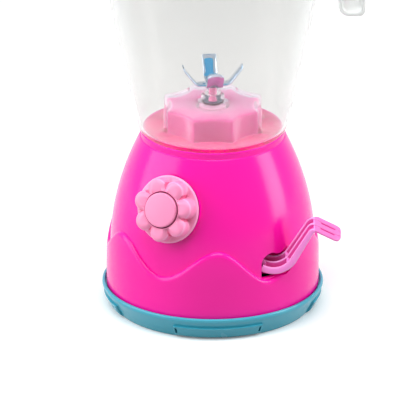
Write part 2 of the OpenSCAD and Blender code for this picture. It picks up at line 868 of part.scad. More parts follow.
module on_way(i) {
    translate([lever_way[i][0], lever_way[i][1]])
        rotate(lever_way[i][2])
            children();
}

module lever_slice(y, t, step) {
    translate([0, 0, step * lever_step])
        in_xz(y, t)
            children();
}

module lever_side(y, t, step) {
    lever_slice(y, t, step) {
        polygon(band(-1, 1, [0, 0], 0, way_last));
        translate(pad_end)
            circle(pad_half, $fn = round_small);
    }
}

module lever_arm() {
    channel = (lever_w - 3 * lever_wall) / 2;
    front = -lever_front;
    for (k = [0:2])
        lever_side(front + k * (lever_wall + channel), lever_wall, k);
    // Floors of the two channels, with cross ribs at the middle and at the bend
    for (k = [0:1])
        lever_slice(front + k * (lever_wall + channel) + lever_wall - 0.4, channel + 0.8, k + 0.5) {
            polygon(band(-1, -1, [0, web_t], 0, way_last));
            for (i = [12, bend_first + 2])
                on_way(i)
                    translate([-rib_t / 2, -0.8 * lever_way[i][3]])
                        square([rib_t, 1.6 * lever_way[i][3]]);
            // Filled part of the finger pad, below its grooves
            on_way(way_last - 1)
                translate([0.6, -0.8 * pad_half])
                    square([pad_len - 1.2, pad_half]);
        }
}

module sector() {
    first = -2;
    last = 2;
    mid = 4.6;
    in_xz(-sector_front, sector_t) {
        difference() {
            polygon(concat([[0, 0]], arc([0, 0], sector_r - dedendum + 0.02,
                -90 + first * 360 / sector_teeth - 5, -90 + last * 360 / sector_teeth + 5, 12)));
            polygon(concat(arc([0, 0], 11, -96, -84, 3), reversed(arc([0, 0], 20, -97, -83, 3))));
        }
        for (i = [first:last])
            polygon(tooth(sector_teeth, -90 + i * 360 / sector_teeth));
    }
}

module lever() {
    color(light_pink)
        translate([pivot_x, 0, pivot_h])
            difference() {
                union() {
                    lever_arm();
                    in_xz(-hub_front, hub_front - hub_back) {
                        circle(hub_r, $fn = round_fine);
                        polygon([[1, 5], [lever_way[2][0] - 2, lever_way[2][1] + 5.6],
                            [lever_way[2][0], lever_way[2][1] + 2],
                            [lever_way[2][0] - 1, lever_way[2][1] - 2], [-1, -5.2]]);
                    }
                    sector();
                }
                // Room for the front ear
                translate([-20, -lever_front - 1, -20])
                    cube([26.6, lever_front + 1 - hub_front, 40]);
                in_xz(-90, 90)
                    circle(pin_r + run_gap, $fn = round_small);
            }
}

// ---- Dial -------------------------------------------------------------------------------------------------

petal_edge = 0.7;

module petal_outline(grow) {
    circle(petal_place_r + grow, $fn = round_fine);
    for (i = [0:petals - 1])
        rotate(90 + 25 + i * 360 / petals)
            translate([petal_place_r, 0])
                circle(petal_r + grow, $fn = round_fine);
}

module flower_dial() {
    disc_low = -seat_sink + dial_gap;
    disc_top = disc_low + disc_t;
    color(light_pink)
        on_dial()
            difference() {
                union() {
                    rotate_extrude($fn = smooth)
                        polygon([[0, disc_low], [dial_disc_r, disc_low], [dial_disc_r, disc_top - 1.1],
                            [dial_disc_r - 0.4, disc_top - 0.4], [dial_disc_r - 1.1, disc_top], [0, disc_top]]);
                    translate([0, 0, disc_top - 0.5])
                        linear_extrude(petal_h + 0.5 - petal_edge)
                            petal_outline(0);
                    translate([0, 0, disc_top + petal_h - petal_edge - 0.1])
                        linear_extrude(petal_edge + 0.1)
                            petal_outline(-0.5);
                    translate([0, 0, dial_back - 1.2])
                        cylinder(r = dial_shaft_r, h = dial_wall + 3, $fn = round_small);
                }
                translate([0, 0, disc_top + petal_h - cap_sink])
                    cylinder(r = cap_r + 0.15, h = 10, $fn = round_fine);
                translate([0, 0, dial_back - 2])
                    cylinder(r = 1.3 + hold_gap, h = 11, $fn = round_small);
            }
}

module dial_cap() {
    low = -seat_sink + dial_gap + disc_t + petal_h - cap_sink;
    color(light_pink)
        on_dial()
            translate([0, 0, low])
                rotate_extrude($fn = smooth)
                    polygon(concat([[0, 0], [cap_r, 0], [cap_r, cap_t - 1.1]],
                        arc([cap_r - 1.2, cap_t - 1.2], 1.2, 0, 78, 4),
                        [[cap_r * 0.55, cap_t + 0.3], [0, cap_t + 0.45]]));
}

module dial_washer() {
    color(nylon)
        on_dial()
            ring(7.6, 1.3 + run_gap, dial_back - 1.2 - 1.6, 1.6);
}

module friction_ring() {
    color([0.2, 0.2, 0.22])
        on_dial()
            ring(7.2, dial_shaft_r + slide_gap, dial_back - 1, 0.9);
}

module dial_screw() {
    color(steel)
        on_dial()
            translate([0, 0, dial_back - 2.8]) {
                translate([0, 0, -1.8])
                    cylinder(r = 2.8, h = 1.8, $fn = round_small);
                translate([0, 0, -0.5])
                    cylinder(r = 1.3, h = 10, $fn = round_small);
            }
}

// ---- Jar --------------------------------------------------------------------------------------------------

function jar_at(z) = jar_rim_r - jar_flare * (jar_top - z)
    - pow(max(0, seat_h + jar_curl_from - z), 2) / (2 * jar_curl_r)
    - pow(max(0, seat_h + jar_foot_round - z), 2) / (2.4 * jar_foot_round);
jar_levels = [14, 28, 44, 60, jar_curl_from];

module jar_profile() {
    polygon(concat([[10, seat_h], [jar_at(seat_h) - 0.6, seat_h]],
        [for (h = concat([0.5, 1.4, 2.4, jar_foot_round], jar_levels)) [jar_at(seat_h + h), seat_h + h]],
        [[jar_at(jar_top - rim_bead_h - 1), jar_top - rim_bead_h - 1],
            [jar_at(jar_top) + rim_bead, jar_top - rim_bead_h], [jar_at(jar_top) + rim_bead, jar_top - 0.5],
            [jar_at(jar_top) + rim_bead - 0.5, jar_top], [jar_at(jar_top) - jar_wall, jar_top]],
        reversed([for (h = concat([4.2], jar_levels)) [jar_at(seat_h + h) - jar_wall, seat_h + h]]),
        [[jar_at(seat_h + 2.6) - jar_wall - 0.9, seat_h + 2.6], [jar_at(seat_h) - jar_wall - 2.6, seat_h + 2.2],
            [10, seat_h + 2.2]]));
}

module jar() {
    color(clear)
        difference() {
            union() {
                rotate_extrude($fn = smooth)
                    jar_profile();
                translate([0, 0, seat_h])
                    linear_extrude(well_top - seat_h)
                        fluted(well_gap + well_wall);
                handle_lug(0);
            }
            translate([0, 0, seat_h - 1])
                linear_extrude(well_top_in - seat_h + 1)
                    fluted(well_gap);
            cylinder(r = collar_neck_r + hold_gap, h = jar_top, $fn = round_small);
        }
}

lug_h = 14;
lug_z = jar_top - 22;
lug_w = 9;
lug_x = jar_at(lug_z + lug_h) + 4.5;

module handle_lug(gap) {
    x0 = jar_at(lug_z) - jar_wall / 2;
    translate([x0, -lug_w / 2 - gap, lug_z - gap])
        cube([lug_x + gap - x0, lug_w + 2 * gap, lug_h + 2 * gap]);
}

// Outline of the hooked handle in X and Z, drawn in by inset
module hook_outline(inset) {
    right = jar_rim_r + handle_out - inset;
    left = jar_rim_r + handle_out - handle_leg + inset;
    top = jar_top - 4 - inset;
    low = jar_top - handle_drop + inset;
    arm_low = lug_z - 4 + inset;
    arm_left = lug_x - 3.2 + inset;
    polygon(concat(
        arc([left + 7, low + 7], 7, 180, 270, 6),
        arc([right - 3.5, low + 3.5], 3.5, -90, 0, 4),
        arc([right - 12, top - 12], 12, 0, 90, 8),
        [[arm_left, top], [arm_left, arm_low]],
        reversed(arc([left - 4, arm_low - 4], 4, 0, 90, 5))));
}

module jar_handle() {
    flange = 2.2;
    color(clear)
        difference() {
            union() {
                in_xz(-handle_w / 2, handle_w)
                    difference() {
                        hook_outline(0);
                        hook_outline(flange);
                    }
                in_xz(-1.2, 2.4)
                    hook_outline(0.5);
                translate([lug_x - 3.2, -handle_w / 2, lug_z - 3.4])
                    cube([3.2 + 2, handle_w, lug_h + 6.8]);
            }
            handle_lug(0.2);
        }
}

module spindle_collar() {
    color(clear)
        difference() {
            union() {
                translate([0, 0, well_top_in - 0.4])
                    cylinder(r = collar_neck_r, h = well_wall + 1, $fn = round_small);
                translate([0, 0, well_top])
                    rotate_extrude($fn = round_fine)
                        polygon([[0, 0], [collar_r, 0], [collar_r, collar_h - 1.2], [collar_r - 1.2, collar_h],
                            [0, collar_h]]);
            }
            translate([0, 0, well_top_in - 1])
                cylinder(r = shaft_r + run_gap, h = 20, $fn = round_small);
        }
}

// ---- Blades -----------------------------------------------------------------------------------------------

module turned() {
    rotate([0, 0, blade_turn])
        children();
}

module blade_spindle() {
    color(steel)
        translate([0, 0, driven_z + 0.2])
            cylinder(r = shaft_r, h = blade_z + 2 * blade_t + 1.6 - driven_z, $fn = round_small);
}

module spindle_washer() {
    color(steel)
        ring(collar_r - 2.2, shaft_r + hold_gap, well_top + collar_h + 0.3,
            blade_z - well_top - collar_h - 0.3);
}

module driven_coupler() {
    color(light_pink)
        translate([0, 0, driven_top])
            mirror([0, 0, 1])
                difference() {
                    coupler(23);
                    translate([0, 0, -1])
                        cylinder(r = shaft_r + hold_gap, h = 20, $fn = round_small);
                }
}

// Way of a blade's arm from the hub to its tip, in radius and height
blade_way = concat([[0, 0, 0]],
    [for (a = spread(0, blade_bend, 5)) [blade_flat + blade_bend_r * sin(a), blade_bend_r * (1 - cos(a)), a]],
    let (p = [blade_flat + blade_bend_r * sin(blade_bend), blade_bend_r * (1 - cos(blade_bend))],
        q = p + blade_straight * [cos(blade_bend), sin(blade_bend)],
        c = q + tip_bend_r * [-sin(blade_bend), cos(blade_bend)])
    [for (a = spread(blade_bend, tip_bend, 4)) [c[0] + tip_bend_r * sin(a), c[1] - tip_bend_r * cos(a), a]]);
function strip(way, t) = concat([for (w = way) [w[0], w[1]]],
    [for (w = reversed(way)) [w[0] - t * sin(w[2]), w[1] + t * cos(w[2])]]);

module blade(z, turn) {
    tip = blade_way[len(blade_way) - 1];
    turned()
        translate([0, 0, z])
            rotate([0, 0, turn])
                difference() {
                    for (side = [0, 180])
                        rotate([0, 0, side])
                            difference() {
                                in_xz(-blade_w / 2, blade_w)
                                    polygon(strip(blade_way, blade_t));
                                // Notch in the tip
                                translate([tip[0] - 4, -blade_w / 2 + 1.6, tip[1] - 2.4])
                                    cube([8, 2.2, 4]);
                            }
                    translate([0, 0, -1])
                        cylinder(r = shaft_r + hold_gap, h = 5, $fn = round_small);
                }
}

module lower_blade() {
    color(steel)
        blade(blade_z, 0);
}

module upper_blade() {
    color(steel)
        blade(blade_z + blade_t + 0.05, 90);
}

module blade_nut() {
    low = blade_z + 2 * blade_t + 0.1;
    color(steel)
        turned()
            difference() {
                union() {
                    translate([0, 0, low])
                        cylinder(r = 4.2, h = 2.4, $fn = 6);
                    translate([0, 0, low + 2])
                        rotate_extrude($fn = round_fine)
                            polygon(concat([[0, 0], [3.3, 0]], arc([0, 0], 3.3, 10, 80, 5), [[0, 3.3]]));
                }
                translate([0, 0, low - 1])
                    cylinder(r = shaft_r + hold_gap, h = 2.9, $fn = round_small);
            }
}

// ---- Lid --------------------------------------------------------------------------------------------------

lid_r = jar_rim_r + rim_bead + lid_over;
plug_r = jar_rim_r - jar_wall - jar_flare * lid_plug - 0.6;

function lid_top_at(r) = jar_top + 2.6 + lid_crown * (1 - pow(max(0, r - lid_seat_r) / (lid_r - lid_seat_r), 2))
    - 0.1;

module lid() {
    radii = spread(lid_seat_r, lid_r - 0.6, 10);
    color(teal)
        rotate_extrude($fn = smooth)
            polygon(concat([[0, lid_top_at(0)]], [for (r = radii) [r, lid_top_at(r)]],
                [[lid_r, jar_top + 1.8], [lid_r, jar_top - rim_bead_h], [lid_r - 0.9, jar_top - rim_bead_h],
                    [lid_r - 1.1, jar_top], [plug_r, jar_top], [plug_r - 0.3, jar_top - lid_plug],
                    [plug_r - lid_wall, jar_top - lid_plug],
                    [plug_r - lid_wall, lid_top_at(plug_r - lid_wall) - lid_wall]],
                [for (r = spread(plug_r - lid_wall - 4, lid_seat_r, 8)) [r, lid_top_at(r) - lid_wall]],
                [[0, lid_top_at(0) - lid_wall]]));
}

module lid_knob() {
    low = lid_top_at(0);
    color(pink)
        translate([0, 0, low])
            rotate_extrude($fn = smooth)
                polygon(concat([[0, 0], [lid_knob_r - 4.4, 0], [lid_knob_r - 5.2, 3],
                    [lid_knob_r - 4.6, lid_knob_h - 7.9]],
                    arc([lid_knob_r - 3.4, lid_knob_h - 4.5], 3.4, -90, 75, 8),
                    [[lid_knob_r * 0.5, lid_knob_h - 0.5], [0, lid_knob_h]]));
}

base_dish();
body_shell();
case_screws();
gear_plate();
plate_screws();
lever_pin();
gear_axle();
shaft_bush();
return_spring();
lever();
rack_bar();
two_step_gear();
drive_gear();
drive_shaft();
shaft_clip();
drive_coupler();
flower_dial();
dial_cap();
dial_screw();
dial_washer();
friction_ring();
jar();
jar_handle();
spindle_collar();
blade_spindle();
spindle_washer();
driven_coupler();
lower_blade();
upper_blade();
blade_nut();
lid();
lid_knob();
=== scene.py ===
import math

import bpy
import bmesh
import numpy as np
from mathutils import Matrix, Vector


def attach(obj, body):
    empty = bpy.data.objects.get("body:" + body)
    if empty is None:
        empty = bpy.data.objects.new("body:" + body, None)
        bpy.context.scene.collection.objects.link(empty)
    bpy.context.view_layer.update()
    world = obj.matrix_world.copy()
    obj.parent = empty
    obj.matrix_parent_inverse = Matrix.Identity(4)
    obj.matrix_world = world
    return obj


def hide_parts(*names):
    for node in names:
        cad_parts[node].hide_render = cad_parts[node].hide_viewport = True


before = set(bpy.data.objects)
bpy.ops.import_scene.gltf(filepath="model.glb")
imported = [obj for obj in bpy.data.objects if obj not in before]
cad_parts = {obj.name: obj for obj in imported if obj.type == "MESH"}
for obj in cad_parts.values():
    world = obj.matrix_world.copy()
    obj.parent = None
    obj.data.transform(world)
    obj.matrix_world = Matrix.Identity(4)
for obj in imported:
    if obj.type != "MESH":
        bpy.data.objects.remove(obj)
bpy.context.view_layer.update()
MM = 0.001
scene = bpy.context.scene

# ---------------------------------------------------------------- sizes, in millimetres
DISH_R, DISH_H, DISH_FOOT_R = 70.0, 15.2, 63.4
PANEL_HALF, PANEL_TURN, PANEL_H, PANEL_PROUD = 24.5, 3.0, 8.9, 1.5
SHELL_FOOT_H = 12.6
DOME_R, DOME_STRAIGHT_H, SHOULDER_R, SHOULDER_H = 64.8, 38.0, 46.0, 112.6
SEAT_H, SEAT_R, SHELL_WALL, SKIRT_PROUD = 117.0, 45.4, 2.4, 2.4
BOSS_RISE, RIB_R, FLUTE_IN_R, FLUTES = 15.3, 30.4, 25.6, 8
PIVOT_X, PIVOT_H = 22.0, 51.0
LEVER_FRONT, LEVER_W, LEVER_WALL, LEVER_STEP = 55.3, 11.0, 1.9, 1.2
LEVER_SLOPE, LEVER_RISE, PAD_FALL, PAD_LEN = 59.0, 21.6, 27.0, 14.0
DIAL_AZIMUTH, DIAL_H, DISC_R = 28.0, 82.5, 21.3
PETALS, PETAL_R, PETAL_PLACE_R, PETAL_H, CAP_R = 7, 6.7, 13.6, 8.6, 10.9
JAR_H, JAR_RIM_R, JAR_FLARE, JAR_WALL = 129.0, 72.0, 0.178, 2.0
WELL_GAP, WELL_WALL = 0.5, 1.9
HANDLE_LEG, HANDLE_W, HANDLE_REACH, HANDLE_END_H = 16.5, 15.0, 95.0, 194.5
BLADE_W, BLADE_T, BLADE_LIFT, BLADE_TURN = 9.0, 0.9, 11.4, 7.0
LID_CROWN, LID_WALL, LID_KNOB_R = 7.0, 2.2, 15.0
JAR_CURL_H, JAR_CURL, JAR_FOOT_H, JAR_FOOT = 77, 2082, 3.6, 8.64
LUG_H, LUG_HALF_W, HANDLE_LIP = 14.0, 4.5, 2.4
DIAL_SEAT, WINDOW_DEEP, PETAL_TURN, PAD_WALL, PANEL_SLOT = -1.5, -43.6, 115, 3.0, 2.0
RING_COLS, WELL_REACH = 256, 35.5
JAR_TOP = SEAT_H + JAR_H
BOSS_TOP = SEAT_H + BOSS_RISE
WELL_TOP_IN = BOSS_TOP + WELL_GAP + 0.2
WELL_TOP = WELL_TOP_IN + WELL_WALL
DOME_BOW = (DOME_R - SHOULDER_R) / (SHOULDER_H - DOME_STRAIGHT_H) ** 2
# Azimuth and height of each crest and trough of the skirt's edge
WAVE = [(-119, 59), (-91, 40), (-61, 58.5), (-29, 39.4), (3, 58.4), (33, 36.6), (63, 60), (92, 42), (121, 59),
        (151, 42), (181, 59), (211, 41), (241, 59)]


def dome_at(z):
    return DOME_R - DOME_BOW * max(0.0, z - DOME_STRAIGHT_H) ** 2


def wave_at(azimuth):
    """Height of the skirt's edge; azimuth in degrees from the front, to the right."""
    a = (azimuth + 119) % 360 - 119
    for (a0, h0), (a1, h1) in zip(WAVE, WAVE[1:]):
        if a0 <= a <= a1:
            return h0 + (h1 - h0) * (1 - math.cos(math.pi * (a - a0) / (a1 - a0))) / 2
    return WAVE[-1][1]


def jar_at(z):
    """The jar's outer radius: a straight flare that curls in over its lower part and is rounded at the foot."""
    curl, foot = max(0.0, SEAT_H + JAR_CURL_H - z), max(0.0, SEAT_H + JAR_FOOT_H - z)
    return JAR_RIM_R - JAR_FLARE * (JAR_TOP - z) - curl ** 2 / JAR_CURL - foot ** 2 / JAR_FOOT


# ---------------------------------------------------------------- materials
def srgb(r, g, b):
    def lin(v):
        v /= 255
        return v / 12.92 if v <= 0.04045 else ((v + 0.055) / 1.055) ** 2.4
    return (lin(r), lin(g), lin(b), 1.0)


CLOUD_SCALE, FLOW_SCALE, PEEL_SCALE, METAL_SCALE, WAVE_SCALE = 14, 60, 900, 260, 14
FINE_BUMP, WAVE_BUMP = 0.0002, 0.001

def shaded(colour, share):
    """A colour made lighter or darker by a share."""
    return tuple(min(1, c * share) for c in colour[:3]) + (1,)

def nodes_of(name):
    mat = bpy.data.materials.new(name)
    mat.use_nodes = True
    return mat, mat.node_tree.nodes, mat.node_tree.links, mat.node_tree.nodes["Principled BSDF"]

def noise_on(mat, scale, detail, stretch=None):
    """Noise in the object's own coordinates, drawn out along Z where stretch is given."""
    nodes, links = mat.node_tree.nodes, mat.node_tree.links
    at = nodes.new("ShaderNodeTexCoord").outputs["Object"]
    if stretch:
        lie = nodes.new("ShaderNodeMapping")
        lie.inputs["Scale"].default_value = (1.0, 1.0, stretch)
        links.new(at, lie.inputs["Vector"])
        at = lie.outputs["Vector"]
    noise = nodes.new("ShaderNodeTexNoise")
    noise.inputs["Scale"].default_value = scale
    noise.inputs["Detail"].default_value = detail
    links.new(at, noise.inputs["Vector"])
    return noise.outputs["Fac"]

def remap(mat, value, target, to_min, to_max, from_min=0.0, from_max=1.0):
    """Drives a socket by a value carried over to another range."""
    node = mat.node_tree.nodes.new("ShaderNodeMapRange")
    for key, number in (("From Min", from_min), ("From Max", from_max), ("To Min", to_min), ("To Max", to_max)):
        node.inputs[key].default_value = number
    mat.node_tree.links.new(value, node.inputs["Value"])
    mat.node_tree.links.new(node.outputs["Result"], target)

def dent(mat, height, strength, distance=FINE_BUMP):
    """Bumps the surface by a height."""
    nodes, links = mat.node_tree.nodes, mat.node_tree.links
    hump = nodes.new("ShaderNodeBump")
    hump.inputs["Strength"].default_value = strength
    hump.inputs["Distance"].default_value = distance
    links.new(height, hump.inputs["Height"])
    links.new(hump.outputs["Normal"], nodes["Principled BSDF"].inputs["Normal"])

def blend_in(mat, shader, factor):
    """Mixes another shader into what the material shows so far, by a number or an output."""
    nodes, links = mat.node_tree.nodes, mat.node_tree.links
    surface = nodes["Material Output"].inputs["Surface"]
    mix = nodes.new("ShaderNodeMixShader")
    if isinstance(factor, float):
        mix.inputs["Fac"].default_value = factor
    else:
        links.new(factor, mix.inputs["Fac"])
    links.new(surface.links[0].from_socket, mix.inputs[1])
    links.new(shader.outputs["BSDF"], mix.inputs[2])
    links.new(mix.outputs["Shader"], surface)
    return mat

def lets_light(mat, share):
    """Lets a share of the light through at each face, for what stands behind."""
    nodes = mat.node_tree.nodes
    through = nodes.new("ShaderNodeBsdfTransparent")
    through.inputs["Color"].default_value = (share, share, share, 1)
    return blend_in(mat, through, nodes.new("ShaderNodeLightPath").outputs["Is Shadow Ray"])

def shines(mat, colour, share):
    """Thin coloured plastic that glows on its far side when lit."""
    far = mat.node_tree.nodes.new("ShaderNodeBsdfTranslucent")
    far.inputs["Color"].default_value = colour
    return blend_in(mat, far, share)

def plastic(name, colour, rough=0.3, vary=0.02, bump=0.05, spec=0.5):
    """Moulded plastic: faint flow clouds in the colour, uneven gloss and a fine orange-peel surface."""
    mat, nodes, links, bsdf = nodes_of(name)
    tone = nodes.new("ShaderNodeMix")
    tone.data_type = "RGBA"
    tone.inputs[6].default_value = shaded(colour, 1 - vary)
    tone.inputs[7].default_value = shaded(colour, 1 + vary)
    links.new(noise_on(mat, CLOUD_SCALE, 1), tone.inputs[0])
    links.new(tone.outputs[2], bsdf.inputs["Base Color"])
    # Flow marks: long streaks along the mould's draw, seen in the gloss only
    remap(mat, noise_on(mat, FLOW_SCALE, 2, stretch=0.25), bsdf.inputs["Roughness"], rough * 0.85, rough * 1.15)
    dent(mat, noise_on(mat, PEEL_SCALE, 2), bump)
    bsdf.inputs["Specular IOR Level"].default_value = spec
    return mat

def metal(name, colour, rough=0.25, brushed=0.0):
    """Plated metal with slightly uneven gloss and tone."""
    mat, nodes, links, bsdf = nodes_of(name)
    bsdf.inputs["Metallic"].default_value = 1.0
    noise = noise_on(mat, METAL_SCALE, 4)
    remap(mat, noise, bsdf.inputs["Roughness"], rough * 0.7, rough * 1.35)
    ramp = nodes.new("ShaderNodeValToRGB")
    ramp.color_ramp.elements[0].color = shaded(colour, 0.85)
    ramp.color_ramp.elements[1].color = shaded(colour, 1.08)
    links.new(noise, ramp.inputs["Fac"])
    links.new(ramp.outputs["Color"], bsdf.inputs["Base Color"])
    if brushed:
        dent(mat, noise, brushed)
    return mat

def clear(name, colour, ior, milk=0.04, rough=0.02, haze=0.03, edge_milk=0.0):
    """Clear moulded plastic: a touch of milk in it, more in walls seen edge-on, and faint waves in its faces."""
    mat, nodes, _, bsdf = nodes_of(name)
    bsdf.inputs["Base Color"].default_value = colour
    bsdf.inputs["IOR"].default_value = ior
    clearness = bsdf.inputs["Transmission Weight"]
    clearness.default_value = 1 - milk
    if edge_milk:
        facing = nodes.new("ShaderNodeLayerWeight")
        facing.inputs["Blend"].default_value = 0.5
        remap(mat, facing.outputs["Facing"], clearness, 1 - milk, 1 - milk - edge_milk, from_min=0.4)
    waves = noise_on(mat, WAVE_SCALE, 1)
    remap(mat, waves, bsdf.inputs["Roughness"], rough * 0.7, rough * 1.3)
    dent(mat, waves, 0.02, WAVE_BUMP)
    return lets_light(mat, 1 - haze)

M_PINK = plastic("pink_moulded", srgb(247, 8, 160), rough=0.2, spec=0.28)
M_BOSS = plastic("pink_boss", srgb(212, 26, 132), rough=0.35, spec=0.3)
M_LEVER = plastic("lever_pink", srgb(254, 140, 224), rough=0.3)
# A lighter copy of the lever's pink: a painted highlight along the lever's rounded edges
M_LEVER_HIGHLIGHT = plastic("lever_pink_painted_highlight", srgb(246, 150, 222), rough=0.25)
# A darker copy of the lever's pink: painted shade on the floors of the grooves
M_LEVER_GROOVE_SHADE = plastic("lever_pink_painted_groove_shade", srgb(230, 78, 168), rough=0.4, spec=0.2)
M_LEVER_PAD = plastic("lever_pink_pad", srgb(230, 112, 186), rough=0.32)
M_DIAL = plastic("dial_pink", srgb(240, 138, 182), rough=0.36)
# A lighter copy of the dial's pink: a painted highlight on the edges of disc and petals
M_DIAL_HIGHLIGHT = plastic("dial_pink_painted_highlight", srgb(246, 156, 202), rough=0.32)
# A dark copy of the dial's pink: painted shadow in the gaps under the disc and round the cap
M_DIAL_GAP_SHADE = plastic("dial_gap", srgb(140, 24, 92), rough=0.6, spec=0.1)
# A darker copy of the dial's pink: painted shade in the notches between the petals
M_DIAL_NOTCH_SHADE = plastic("dial_pink_painted_notch_shade", srgb(226, 92, 140), rough=0.42)
M_TEAL = plastic("teal_moulded", srgb(60, 164, 186), rough=0.26, spec=0.4)
M_LID = plastic("teal_lid", srgb(60, 164, 186), rough=0.26, spec=0.4)
lets_light(shines(M_LID, srgb(70, 200, 236), 0.36), 0.85)
M_NYLON = plastic("white_nylon", srgb(232, 232, 226), rough=0.45, vary=0.03)
M_RUBBER = plastic("black_rubber", srgb(34, 34, 36), rough=0.7, vary=0.1, bump=0.2)
M_STEEL = metal("plated_steel", (0.62, 0.63, 0.65), rough=0.28, brushed=0.05)
M_SPRING = metal("spring_wire", (0.5, 0.51, 0.53), rough=0.25)
M_CHROME = metal("chromed_blade", (0.6, 0.68, 0.8), rough=0.06)
# The washer's dark colour is painted shade at the collar's foot
M_WASHER_SHADE = metal("dark_washer_painted_shade", (0.2, 0.22, 0.3), rough=0.3)
M_JAR = clear("clear_jar", (0.828, 0.828, 0.818, 1), 1.14, edge_milk=0.36)
M_WELL = clear("clear_well", (0.9, 0.82, 0.89, 1), 1.07, milk=0.08, rough=0.05, edge_milk=0.3)
M_COLLAR = clear("clear_collar", (0.97, 0.93, 0.96, 1), 1.15, rough=0.03, edge_milk=0.25)
M_MILKY = clear("milky_plastic", (0.76, 0.77, 0.76, 1), 1.3, milk=0.6, rough=0.16, haze=0.3)

# ---------------------------------------------------------------- mesh helpers
def make(name, verts, faces, mat, body, slot=None, smooth=True, replaces=()):
    me = bpy.data.meshes.new(name)
    me.from_pydata([tuple(float(c) * MM for c in v) for v in verts], [], faces)
    me.update()
    ob = bpy.data.objects.new(name, me)
    scene.collection.objects.link(ob)
    me.materials.append(mat)
    tidy_normals(me)
    for p in me.polygons:
        p.use_smooth = smooth
    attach(ob, body)
    if replaces:
        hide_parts(*replaces)
    return ob


def tidy_normals(me):
    bm = bmesh.new()
    bm.from_mesh(me)
    bmesh.ops.recalc_face_normals(bm, faces=bm.faces)
    bm.to_mesh(me)
    bm.free()


def grid_faces(rows, cols, wrap):
    """Quads between neighbouring rows, each row a closed ring."""
    faces = []
    for i in range(rows if wrap else rows - 1):
        for j in range(cols):
            k, after = (j + 1) % cols, (i + 1) % rows
            faces.append((i * cols + j, i * cols + k, after * cols + k, after * cols + j))
    return faces

def ringed(name, rows, mat, body, caps=(True, True), wrap=False, **kw):
    """A skin over rows of points, each a closed ring with the same count.
    The rows close on themselves, or end in caps."""
    rows = [np.asarray(r, float) for r in rows]
    cols = len(rows[0])
    verts = [tuple(p) for r in rows for p in r]
    faces = grid_faces(len(rows), cols, wrap)
    if not wrap:
        for capped, r, base in ((caps[0], rows[0], 0), (caps[1], rows[-1], (len(rows) - 1) * cols)):
            if capped:
                faces += [(base + j, base + (j + 1) % cols, len(verts)) for j in range(cols)]
                verts.append(tuple(r.mean(0)))
    return make(name, verts, faces, mat, body, **kw)

def lathe_rows(profile, cols=192):
    t = np.linspace(0, 2 * math.pi, cols, endpoint=False)
    return [np.stack([r * np.cos(t), r * np.sin(t), np.full(cols, z)], 1) for r, z in profile]


def lathe(name, profile, mat, body, cols=192, wrap=False, **kw):
    return ringed(name, lathe_rows(profile, cols), mat, body, wrap=wrap, **kw)


def fillet(a, corner, b, r, n=6):
    """Points that round the corner between a and b with radius r."""
    a, c, b = (np.array(p, float) for p in (a, corner, b))
    u, v = (a - c) / np.linalg.norm(a - c), (b - c) / np.linalg.norm(b - c)
    half = math.acos(max(-1, min(1, float(u @ v)))) / 2
    if half > math.pi / 2 - 1e-3:
        return [tuple(c)]
    d = r / math.tan(half)
    d = min(d, np.linalg.norm(a - c) * 0.49, np.linalg.norm(b - c) * 0.49)
    r = d * math.tan(half)
    centre = c + (u + v) / np.linalg.norm(u + v) * (r / math.sin(half))
    p0, p1 = c + u * d, c + v * d
    a0 = math.atan2(*(p0 - centre)[::-1])
    a1 = math.atan2(*(p1 - centre)[::-1])
    da = (a1 - a0 + math.pi) % (2 * math.pi) - math.pi
    return [tuple(centre + r * np.array([math.cos(a0 + da * k / n), math.sin(a0 + da * k / n)])) for k in range(n + 1)]


def rounded(points, radii, n=6, closed=True):
    """A polyline with each corner rounded to its radius (0 keeps it sharp)."""
    out = []
    m = len(points)
    for i, p in enumerate(points):
        if (not closed and i in (0, m - 1)) or not radii[i]:
            out.append(tuple(p))
        else:
            out += fillet(points[i - 1], p, points[(i + 1) % m], radii[i], n)
    return out


BOX_FACES = [(0, 1, 3, 2), (4, 6, 7, 5), (0, 4, 5, 1), (2, 3, 7, 6), (0, 2, 6, 4), (1, 5, 7, 3)]

def box_points(xs, ys, zs):
    return [(x, y, z) for x in xs for y in ys for z in zs]

def prism_faces(n):
    """The two ends and the sides of a prism over an outline of n points."""
    sides = [(i, (i + 1) % n, n + (i + 1) % n, n + i) for i in range(n)]
    return [tuple(range(n)), tuple(range(2 * n - 1, n - 1, -1))] + sides

def prism_xz(name, outline, y0, y1, mat, body, bevel=0.0, smooth=False, **kw):
    """An outline in X and Z, from y0 to y1, with its long edges bevelled."""
    verts = [(x, y, z) for y in (y0, y1) for x, z in outline]
    ob = make(name, verts, prism_faces(len(outline)), mat, body, smooth=smooth, **kw)
    if bevel:
        soften(ob, bevel)

def soften(ob, width):
    """Rounds the edges sharper than 35 degrees."""
    mod = ob.modifiers.new("edges", "BEVEL")
    mod.width = width * MM
    mod.segments = 3
    mod.limit_method = "ANGLE"
    mod.angle_limit = math.radians(35)
    mod.harden_normals = False
    for p in ob.data.polygons:
        p.use_smooth = True
    ob.modifiers.new("normals", "WEIGHTED_NORMAL").keep_sharp = True

def cut(ob, verts, faces, operation="DIFFERENCE"):
    """Cuts a closed shape out of a piece, or joins it on."""
    shape = bpy.data.meshes.new("cutter")
    shape.from_pydata([tuple(float(c) * MM for c in v) for v in verts], [], faces)
    cutter = bpy.data.objects.new("cutter", shape)
    scene.collection.objects.link(cutter)
    tidy_normals(shape)
    mod = ob.modifiers.new("cut", "BOOLEAN")
    mod.object, mod.operation, mod.solver = cutter, operation, "EXACT"
    bpy.context.view_layer.update()
    dg = bpy.context.evaluated_depsgraph_get()
    me = bpy.data.meshes.new_from_object(ob.evaluated_get(dg))
    ob.modifiers.remove(mod)
    old = ob.data
    ob.data = me
    bpy.data.meshes.remove(old)
    bpy.data.objects.remove(cutter)

